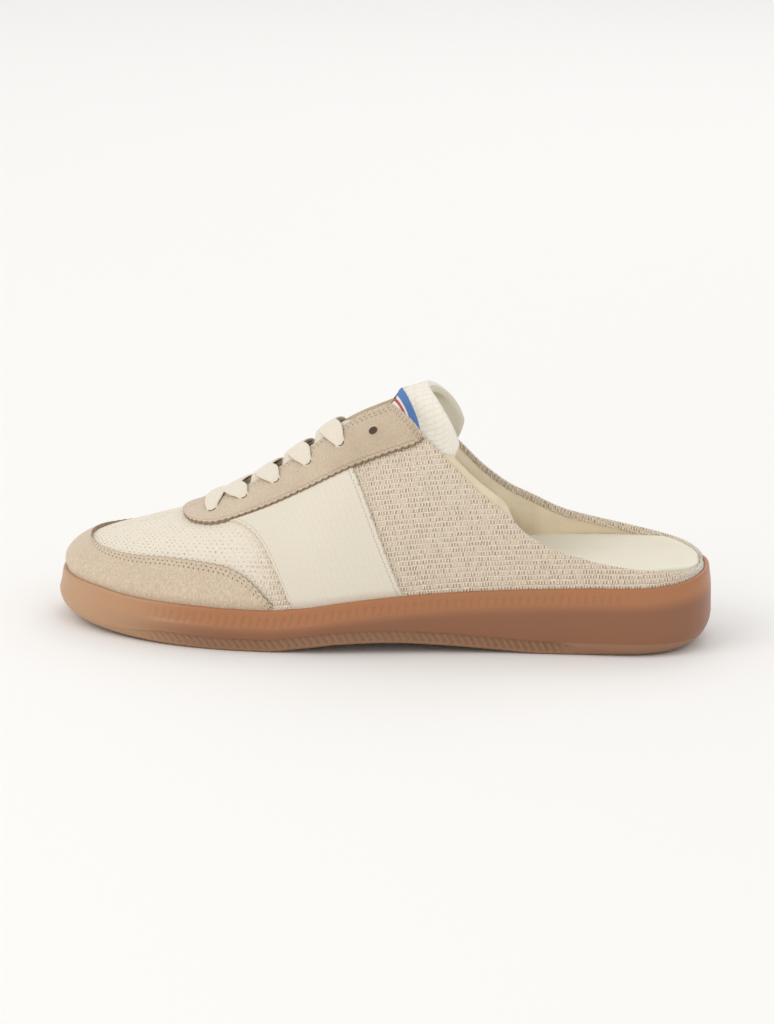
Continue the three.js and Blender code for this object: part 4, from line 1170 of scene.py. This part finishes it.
def eyestay_mesh():
    """The eyestay from its outer edge up to the throat, each side of it folded down where it shows."""
    rows = EYESTAY_EDGE["at"]
    turns = np.concatenate((
        turn_at(np.linspace(rows[0], rows[1], 20))[:-1],
        turn_at(np.linspace(rows[1], rows[2], 30))[:-1],
        steps_between(rows[2], rows[-1], 0.00034),
    ))
    shares = folded(36)
    lift = edge_lift(shares, True, True)

    def low(turn):
        at = section(turn)[1]
        edge = along(EYESTAY_EDGE, "rise", at)
        corner = rounding((rows[-1] - at) * SOLE_LENGTH, STAY_CORNER)
        high = collar_edge(turn)
        return np.minimum(high - (high - edge) * corner, high - 0.002)

    def folds(turn):
        opened = throat_opens(section(turn)[1])[:, None]
        plain = edge_lift(shares, True, False)[None, :]
        return lift[None, :] * opened + plain * (1 - opened)

    return both_sides("eyestay", turns, low, collar_edge, shares, folds, (PINK_PITCH, PINK_DEPTH))


# The eyestay darkens to a painted shade towards its rear
stay_suede = suede("suede_eyestay", SUEDE, STAY_REAR_PAINTED_SHADE, [("low", 0.0), ("high", STITCH_ROWS)])
eyestay = piece("suede_eyestay", eyestay_mesh(), stay_suede)
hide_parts("eyestay")

# Side panels: plain cream leather from the sole to the eyestay on each side, with pinked edges and a
# row of needle holes, and faint embossed lines across.
SADDLE_FOOT_FRONT, SADDLE_FOOT_REAR = 0.388, 0.575
SADDLE_TOP_FRONT, SADDLE_TOP_REAR = 0.268, 0.455
SADDLE_CLEAR = 0.012
SADDLE_UNDER = 0.01
UNDER_SHARE, UNDER_RISE = 0.3, 0.03
CAP_SLOPE = 4
GRAIN_SIZE = 900.0
LEATHER = tone(226, 217, 200)
LEATHER_CLOUD = tone(214, 203, 182)
LEATHER_GROOVE = tone(205, 192, 168)


def grain_effect():
    """Leather grain: small cells with soft valleys between them."""
    effect, start, end = new_effect(
        "leather_grain", [("Place", "Vector", None), ("Size", "Float", GRAIN_SIZE)], ["Height"],
    )
    cells = add(effect, "TexVoronoi", {"Vector": start.outputs["Place"], "Scale": start.outputs["Size"]})
    effect.links.new(ramp(effect, cells.outputs["Distance"], 0.75, 0.1), end.inputs["Height"])
    return effect


GRAIN = grain_effect()


def emboss_effect():
    """Bricks pressed into leather: grooves across at one pitch and along at another."""
    effect, start, end = new_effect(
        "emboss",
        [("Place", "Vector", None), ("Across", "Float", 0.0023), ("Along", "Float", 0.0040)],
        ["Groove"],
    )
    place = add(effect, "SeparateXYZ", {0: start.outputs["Place"]})
    grooves = []
    for axis, pitch in (("Y", "Across"), ("X", "Along")):
        cell = maths(effect, "DIVIDE", place.outputs[axis], start.outputs[pitch])
        grooves.append(ramp(effect, from_middle(effect, cell), 0.36, 0.48))
    fainter = maths(effect, "MULTIPLY", grooves[1], 0.6)
    effect.links.new(maths(effect, "MAXIMUM", grooves[0], fainter), end.inputs["Groove"])
    return effect


EMBOSS = emboss_effect()


def smooth_leather(name, shade, roughness, spread=None, depth=0.0, sewn=False):
    """Grained leather. Along a UV map it can have bricks pressed to a depth, and needle holes."""
    material, tree, shader = new_material(name, roughness, Coat_Weight=0.08, Coat_Roughness=0.4)
    place = add(tree, "TexCoord").outputs["Object"]
    cloud = effect_node(tree, MOTTLE, {"Place": place, "Large": 35.0, "Small": 1200.0})
    grain = effect_node(tree, GRAIN, {"Place": place})["Height"]
    colour = stain(tree, cloud["Cloud"], 0.14, shade, LEATHER_CLOUD)
    relief = maths(tree, "MULTIPLY", grain, 0.25)
    if spread:
        beside = add(tree, "UVMap", uv_map=spread).outputs[0]
        groove = effect_node(tree, EMBOSS, {"Place": beside})["Groove"]
        relief = maths(tree, "SUBTRACT", relief, maths(tree, "MULTIPLY", groove, depth))
        colour = stain(tree, groove, depth * 0.5, colour, LEATHER_GROOVE)
    if sewn:
        holes = effect_node(tree, STITCHES, {"Place": beside, "Inset": STITCH_INSET})
        colour = stain(tree, holes["Hole"], 0.7, colour, NEEDLE_HOLE)
        relief = maths(tree, "SUBTRACT", relief, holes["Hole"])
    tree.links.new(colour, shader.inputs["Base Color"])
    bumped(tree, shader, relief, 0.4, 0.0004)
    return material


def saddle_mesh(name, inner):
    """One panel, which starts over the cap's edge and in the cup, and ends under the eyestay's edge."""
    share = folded(70)[None, :]
    across = folded(130)[:, None]
    front = SADDLE_FOOT_FRONT + (SADDLE_TOP_FRONT - SADDLE_FOOT_FRONT) * share
    rear = SADDLE_FOOT_REAR + (SADDLE_TOP_REAR - SADDLE_FOOT_REAR) * share
    at = front + (rear - front) * across
    turn = mirrored(turn_at(at)) if inner else turn_at(at)
    over_cap = on_side(CAP_EDGE, turn, at) + SADDLE_CLEAR
    start = np.maximum(over_cap - CAP_SLOPE * np.maximum(0, at - CAP_EDGE["at"][-1]), OVERLAY_TUCK)
    top = along(EYESTAY_EDGE, "rise", at) + SADDLE_UNDER
    rise = start + (top - start) * share
    under = OVERLAY_TOP * (UNDER_SHARE + (1 - UNDER_SHARE) * smooth((top - rise) / UNDER_RISE))
    turned = edge_lift(across[:, 0], True, True)[:, None]
    lift = np.minimum(np.minimum(tucked_lift(turn, rise), under), turned)
    points = last_point(turn, rise)
    from_front, from_low = walked(points, 0), walked(points, 1)
    aside = np.minimum(from_front, from_front[-1:] - from_front)
    outward = unit(np.gradient(points, axis=0)) * np.where(across < 0.5, -1, 1)[..., None]
    cut = PINK_DEPTH * scalloped(from_low, aside, PINK_PITCH)
    points = points + last_normal(turn, rise) * lift[..., None] + outward * cut[..., None]
    return sheet_mesh(name, [(points, {"side": np.stack((from_low, aside), -1)}, inner)])


saddle_leather = smooth_leather("cream_leather", LEATHER, 0.55, "side", depth=0.25, sewn=True)
for side, inner in (("outer", False), ("inner", True)):
    name = f"side_panel_{side}"
    panel = piece(name, saddle_mesh(name, inner), saddle_leather)
    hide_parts(f"saddle_{side}")

# Tongue: padded leather with embossed ribs across, which lies under the throat and swells out of the
# collar, where its rear corners hang down inside.
TONGUE_THICK = 0.005
TONGUE_LIFT = 0.0065
TONGUE_HEIGHT = 0.107
LABEL_THICK = 0.0007
TONGUE_LEAVES, TONGUE_OUT = 0.495, 0.520
THROAT_SWELL = 0.0032
THROAT_REACH = 0.15
LACED_TO, LACED_END = 0.43, 0.46
TONGUE_CLEAR = UPPER_WALL + LABEL_THICK + 2 * GAP
TONGUE_BLEND = 0.2
TONGUE_START = 0.2
TONGUE_RIB = 0.0023
TONGUE_RIB_HEIGHT = 0.0003
TONGUE_SOFT = 0.0032
TONGUE_PINCH = 0.005
TONGUE_END = 0.004
RIB_FADE = 0.004
TONGUE_CREAM = tone(240, 236, 224)
TONGUE_TAN = tone(216, 209, 188)

# Lower and upper edge of the tongue, as shares of TONGUE_HEIGHT
TONGUE_EDGE = table("at low high", [
    (0.225, 0.380, 1.20),
    (0.300, 0.420, 1.20),
    (0.400, 0.550, 1.20),
    (0.500, 0.670, 1.20),
    (0.545, 0.680, 1.00),
    (0.560, 0.680, 0.945),
    (0.574, 0.680, 0.925),
    (0.592, 0.690, 0.88),
    (0.606, 0.740, 0.83),
    (0.613, 0.780, 0.79),
])


def tongue_edge(turn, name):
    at = section(turn)[1]
    return rise_at_height(turn, TONGUE_HEIGHT * along(TONGUE_EDGE, name, at))


def tongue_face(turn, rise):
    """Lift of the tongue's front over the last: under the throat, and swelling past it."""
    at = section(turn)[1]
    above = rise - collar_edge(turn)
    leaving = smooth((at - TONGUE_LEAVES) / (TONGUE_OUT - TONGUE_LEAVES))
    laced = 1 - smooth((at - LACED_TO) / (LACED_END - LACED_TO))
    swollen = THROAT_SWELL * laced * smooth(above / THROAT_REACH)
    return TONGUE_LIFT * leaving * smooth(above / TONGUE_BLEND - TONGUE_START) + swollen - TONGUE_CLEAR


def tongue_meshes():
    """The tongue's ribbed front and its back, which meet all round its edge."""
    first, last = TONGUE_EDGE["at"][0], TONGUE_EDGE["at"][-1]
    turns = np.concatenate((
        steps_between(first, last - TONGUE_END, 0.0004)[:-1],
        turn_at(last - TONGUE_END * (1 - np.sin(np.linspace(0, np.pi / 2, 12)))),
    ))
    share = (1 - np.cos(np.linspace(0, np.pi / 2, 60)))[None, :]
    front_parts, back_parts = [], []
    for side in (turns, mirrored(turns)):
        low = tongue_edge(side, "low")
        high = np.maximum(tongue_edge(side, "high"), low + 0.001)
        rise = low[:, None] + (high - low)[:, None] * share
        turn = side[:, None] + 0 * rise
        base = last_point(turn, rise)
        reach = walked(base, 1)
        at = section(side)[1]
        opens = at[np.argmax(high < 1 - 1e-9) - 1]
        closed = TONGUE_SOFT * smooth((opens - at) * SOLE_LENGTH / TONGUE_PINCH)[:, None]
        from_top = (reach[:, -1:] - reach) + closed
        from_end = ((last - at) * SOLE_LENGTH)[:, None]
        away = np.minimum(np.minimum(reach, from_top), from_end)
        half = TONGUE_THICK / 2 * np.sqrt(1 - (1 - np.clip(away / TONGUE_SOFT, 0, 1)) ** 2)
        middle = tongue_face(turn, rise) - TONGUE_THICK / 2
        rib = np.abs(np.sin(np.pi * reach / TONGUE_RIB)) ** 0.5 - 1
        front = middle + half + TONGUE_RIB_HEIGHT * rib * smooth(away / RIB_FADE)
        normal = last_normal(turn, rise)
        spread = {"low": np.stack((base[..., 0], reach), -1)}
        front_parts.append((base + normal * front[..., None], spread, side is not turns))
        back_parts.append((base + normal * (middle - half)[..., None], spread, side is turns))
    return sheet_mesh("tongue_front", front_parts), sheet_mesh("tongue_back", back_parts)


tongue_front, tongue_back = tongue_meshes()
tongue_leather = smooth_leather("tongue_leather", TONGUE_CREAM, 0.62, "low", depth=0.55)
tongue = piece("tongue_front", tongue_front, tongue_leather)
back = piece("tongue_back", tongue_back, smooth_leather("tongue_lining", TONGUE_TAN, 0.8))
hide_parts("tongue")

# Label: a woven ribbon sewn across the front of the tongue, just above the throat. It is white with a
# thin red line and a wide blue band.
LABEL_LOW = 0.30
LABEL_EDGE = 0.0003
LABEL_TOP_FRONT, LABEL_TOP_REAR = 0.496, 0.525
LABEL_LOW_FRONT, LABEL_LOW_REAR = 0.522, 0.554
LABEL_WHITE = tone(238, 236, 230)
LABEL_RED = tone(190, 80, 75)
LABEL_BLUE = tone(82, 124, 186)


def label_mesh():
    along_label = np.linspace(0, 1, 30)
    shares = np.linspace(0, 1, 40)[None, :]
    front = LABEL_LOW_FRONT + (LABEL_TOP_FRONT - LABEL_LOW_FRONT) * shares
    rear = LABEL_LOW_REAR + (LABEL_TOP_REAR - LABEL_LOW_REAR) * shares
    at = front + (rear - front) * along_label[:, None]
    parts = []
    for inner in (False, True):
        turn = mirrored(turn_at(at)) if inner else turn_at(at)
        low = tongue_edge(turn, "low")
        start = low + (1 - low) * LABEL_LOW
        rise = start + (1 - start) * shares
        edge = np.minimum(at - front, rear - at) * SOLE_LENGTH
        lift = tongue_face(turn, rise) + LABEL_THICK * np.clip(edge / LABEL_EDGE, 0, 1)
        points = last_point(turn, rise) + last_normal(turn, rise) * lift[..., None]
        parts.append((points, {"ribbon": np.stack((along_label[:, None] + 0 * at, rise), -1)}, inner))
    return sheet_mesh("tongue_label", parts)


def woven_ribbon():
    material, tree, shader = new_material("woven_ribbon", 0.7, Sheen_Weight=0.1)
    away = add(tree, "SeparateXYZ", {0: add(tree, "UVMap", uv_map="ribbon").outputs[0]}).outputs["X"]
    red = maths(tree, "MULTIPLY", ramp(tree, away, 0.40, 0.42), ramp(tree, away, 0.54, 0.52))
    blue = ramp(tree, away, 0.62, 0.64)
    shade = blend(tree, red, LABEL_WHITE, LABEL_RED)
    shade = blend(tree, blue, shade, LABEL_BLUE)
    tree.links.new(shade, shader.inputs["Base Color"])
    place = add(tree, "TexCoord").outputs["Object"]
    threads = add(tree, "TexNoise", {"Vector": place, "Scale": 3000.0}).outputs["Fac"]
    bumped(tree, shader, threads, 0.3, 0.0002)
    return material


label = piece("woven_label", label_mesh(), woven_ribbon())
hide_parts("tongue_label")

# Laces: flat woven cotton, a straight bar over the first pair of eyelets, then two crossings from each
# pair up to the next, out of the throat and over the eyestay into the holes. The ends are tucked away.
FIRST_EYELET = 0.242
EYELET_STEP = 0.0486
EYELET_SETBACK = 0.009
LACED_ROWS = 5
LACE_WIDTH = 0.0088
LACE_THICK = 0.0011
LACE_TIP = 0.0032
LACE_TAPER = 0.45
LACE_START = 0.3
LACE_PAST = 0.0016
LACE_CROWN = 0.00025
LACE_THREAD, LACE_RIB = 0.0009, 0.0011
EYELET_DIP, EYELET_DIP_LENGTH = 0.0016, 0.12
THROAT_DIP, THROAT_DIP_LENGTH = 0.0022, 0.22
LACE = tone(240, 231, 215)
LACE_SHADE = tone(200, 182, 154)


def eyelet(row, inner):
    """Place of an eyelet on the last, and the direction out of the last there."""
    turn = turn_at(FIRST_EYELET + EYELET_STEP * row)
    turn = mirrored(turn) if inner else turn
    rise = rise_at_side(turn, THROAT_HALF + EYELET_SETBACK)
    return last_point(turn, rise), last_normal(turn, rise)


def crown_point(x, y):
    """Points of the last over places in the plan, and the directions out of it."""
    outer = turn_at(x / SOLE_LENGTH + 0.5)
    ridge = section(outer)[3]
    turn = np.where(y < ridge, outer, mirrored(outer))
    rise = rise_at_side(turn, np.abs(y - ridge))
    return last_point(turn, rise), last_normal(turn, rise)


def lace_strip(start, end, width_start, width_end, from_throat):
    """Flat band with rounded edges over the crown of the shoe, which dips out of sight at its ends."""
    t = np.linspace(0, 1, 40)
    place, normal = crown_point(start[0] + (end[0] - start[0]) * t, start[1] + (end[1] - start[1]) * t)
    run = np.array((end[0] - start[0], end[1] - start[1], 0))
    across = unit(np.cross(run, normal))
    half = 0.5 * np.minimum(
        width_start + (LACE_WIDTH - width_start) * np.sin(np.clip(t / LACE_TAPER, 0, 1) * np.pi / 2),
        width_end + (LACE_WIDTH - width_end) * np.sin(np.clip((1 - t) / LACE_TAPER, 0, 1) * np.pi / 2),
    )
    depth, length = (THROAT_DIP, THROAT_DIP_LENGTH) if from_throat else (EYELET_DIP, EYELET_DIP_LENGTH)
    dip = EYELET_DIP * (1 - smooth((1 - t) / EYELET_DIP_LENGTH)) + depth * (1 - smooth(t / length))
    lift = OVERLAY_TOP + GAP + LACE_THICK / 2 - dip
    angle = np.linspace(0, 2 * np.pi, 17)
    side = np.sign(np.cos(angle)) * np.abs(np.cos(angle)) ** 0.6
    tall = np.sign(np.sin(angle)) * np.abs(np.sin(angle)) ** 0.8
    height = lift[:, None] + LACE_THICK / 2 * tall + LACE_CROWN * (1 - side**2)
    aside = half[:, None] * side
    points = place[:, None] + across[:, None] * aside[..., None] + normal[:, None] * height[..., None]
    gone = np.linalg.norm(run) * t
    spread = np.stack(np.broadcast_arrays(gone[:, None], aside), -1)
    return points, {"lace": spread}, True


def lace_cotton():
    """Flat woven cotton: two sets of slanting threads that meet along the middle of the lace."""
    material, tree, shader = new_material("lace_cotton", 0.85, Sheen_Weight=0.1)
    place = add(tree, "SeparateXYZ", {0: add(tree, "UVMap", uv_map="lace").outputs[0]})
    slant = maths(tree, "ADD", place.outputs["X"], maths(tree, "ABSOLUTE", place.outputs["Y"]))
    ridge = maths(tree, "SINE", maths(tree, "MULTIPLY", slant, 2 * math.pi / LACE_THREAD))
    ribs = maths(tree, "SINE", maths(tree, "MULTIPLY", place.outputs["Y"], 2 * math.pi / LACE_RIB))
    weave = maths(tree, "MULTIPLY", maths(tree, "ADD", maths(tree, "MULTIPLY", ridge, ribs), 1.0), 0.5)
    tree.links.new(stain(tree, weave, 0.3, LACE, LACE_SHADE), shader.inputs["Base Color"])
    bumped(tree, shader, weave, 0.5, 0.0003)
    return material


LACE_COTTON = lace_cotton()
for row in range(1, LACED_ROWS):
    strips = []
    for inner in (False, True):
        target = eyelet(row, inner)[0]
        origin = eyelet(row - 1, not inner)[0]
        run = target - origin
        reach = target + run * (LACE_PAST / np.linalg.norm(run))
        strips.append(lace_strip(origin + run * LACE_START, reach, LACE_WIDTH, LACE_TIP, True))
    if row == 1:
        near, far = eyelet(0, False)[0], eyelet(0, True)[0]
        past = (far - near) * (LACE_PAST / np.linalg.norm(far - near))
        strips.append(lace_strip(near - past, far + past, LACE_TIP, LACE_TIP, False))
    name = f"lace_crossing_{row}"
    crossing = piece(f"flat_{name}", sheet_mesh(f"flat_{name}", strips), LACE_COTTON)
    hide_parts(name)


# Eyelets: six holes a side, punched through the suede with no metal. Each is a shallow dish with its edge
# pressed down a little, dark inside as a painted shadow of the hole, and those that hold the lace are drawn
# tighter.
EYELETS = 6
EYELET_RADIUS = 0.00145
EYELET_LACED = 0.90
EYELET_LIFT = 0.00022
# Painted shadow inside the eyelet holes
EYELET_PAINTED_SHADOW = tone(80, 65, 49)

# Rings of an eyelet from its pressed edge to the middle: share of its radius, and lift
EYELET_RINGS = table("radius lift", [
    (1.25, 0.00000),
    (1.08, 0.00012),
    (0.95, 0.00005),
    (0.80, -0.00010),
    (0.00, -0.00020),
])


def eyelet_mesh():
    """A shallow dish at every eyelet, on the suede's surface, which carries the painted shadow of the hole.
    """
    parts = []
    angle = np.linspace(0, 2 * np.pi, 25)[:, None]
    for inner in (False, True):
        for row in range(EYELETS):
            place, normal = eyelet(row, inner)
            first = unit(np.cross(normal, (0, 0, 1)))
            circle = np.cos(angle) * first + np.sin(angle) * np.cross(normal, first)
            radius = EYELET_RADIUS * (EYELET_LACED if row < LACED_ROWS else 1.0)
            rings = []
            for share, lift in zip(EYELET_RINGS["radius"], EYELET_RINGS["lift"]):
                height = OVERLAY_TOP + EYELET_LIFT + lift
                rings.append(place + circle * radius * share + normal * height)
            parts.append((np.array(rings), {}, False))
    return sheet_mesh("eyelet_painted_shadows", parts)


# The dishes carry a flat dark colour as the painted shadow inside each hole
hole, _, hole_shadow_shader = new_material("eyelet_painted_shadow", 0.9)
hole_shadow_shader.inputs["Base Color"].default_value = EYELET_PAINTED_SHADOW
piece("eyelet_painted_shadows", eyelet_mesh(), hole)
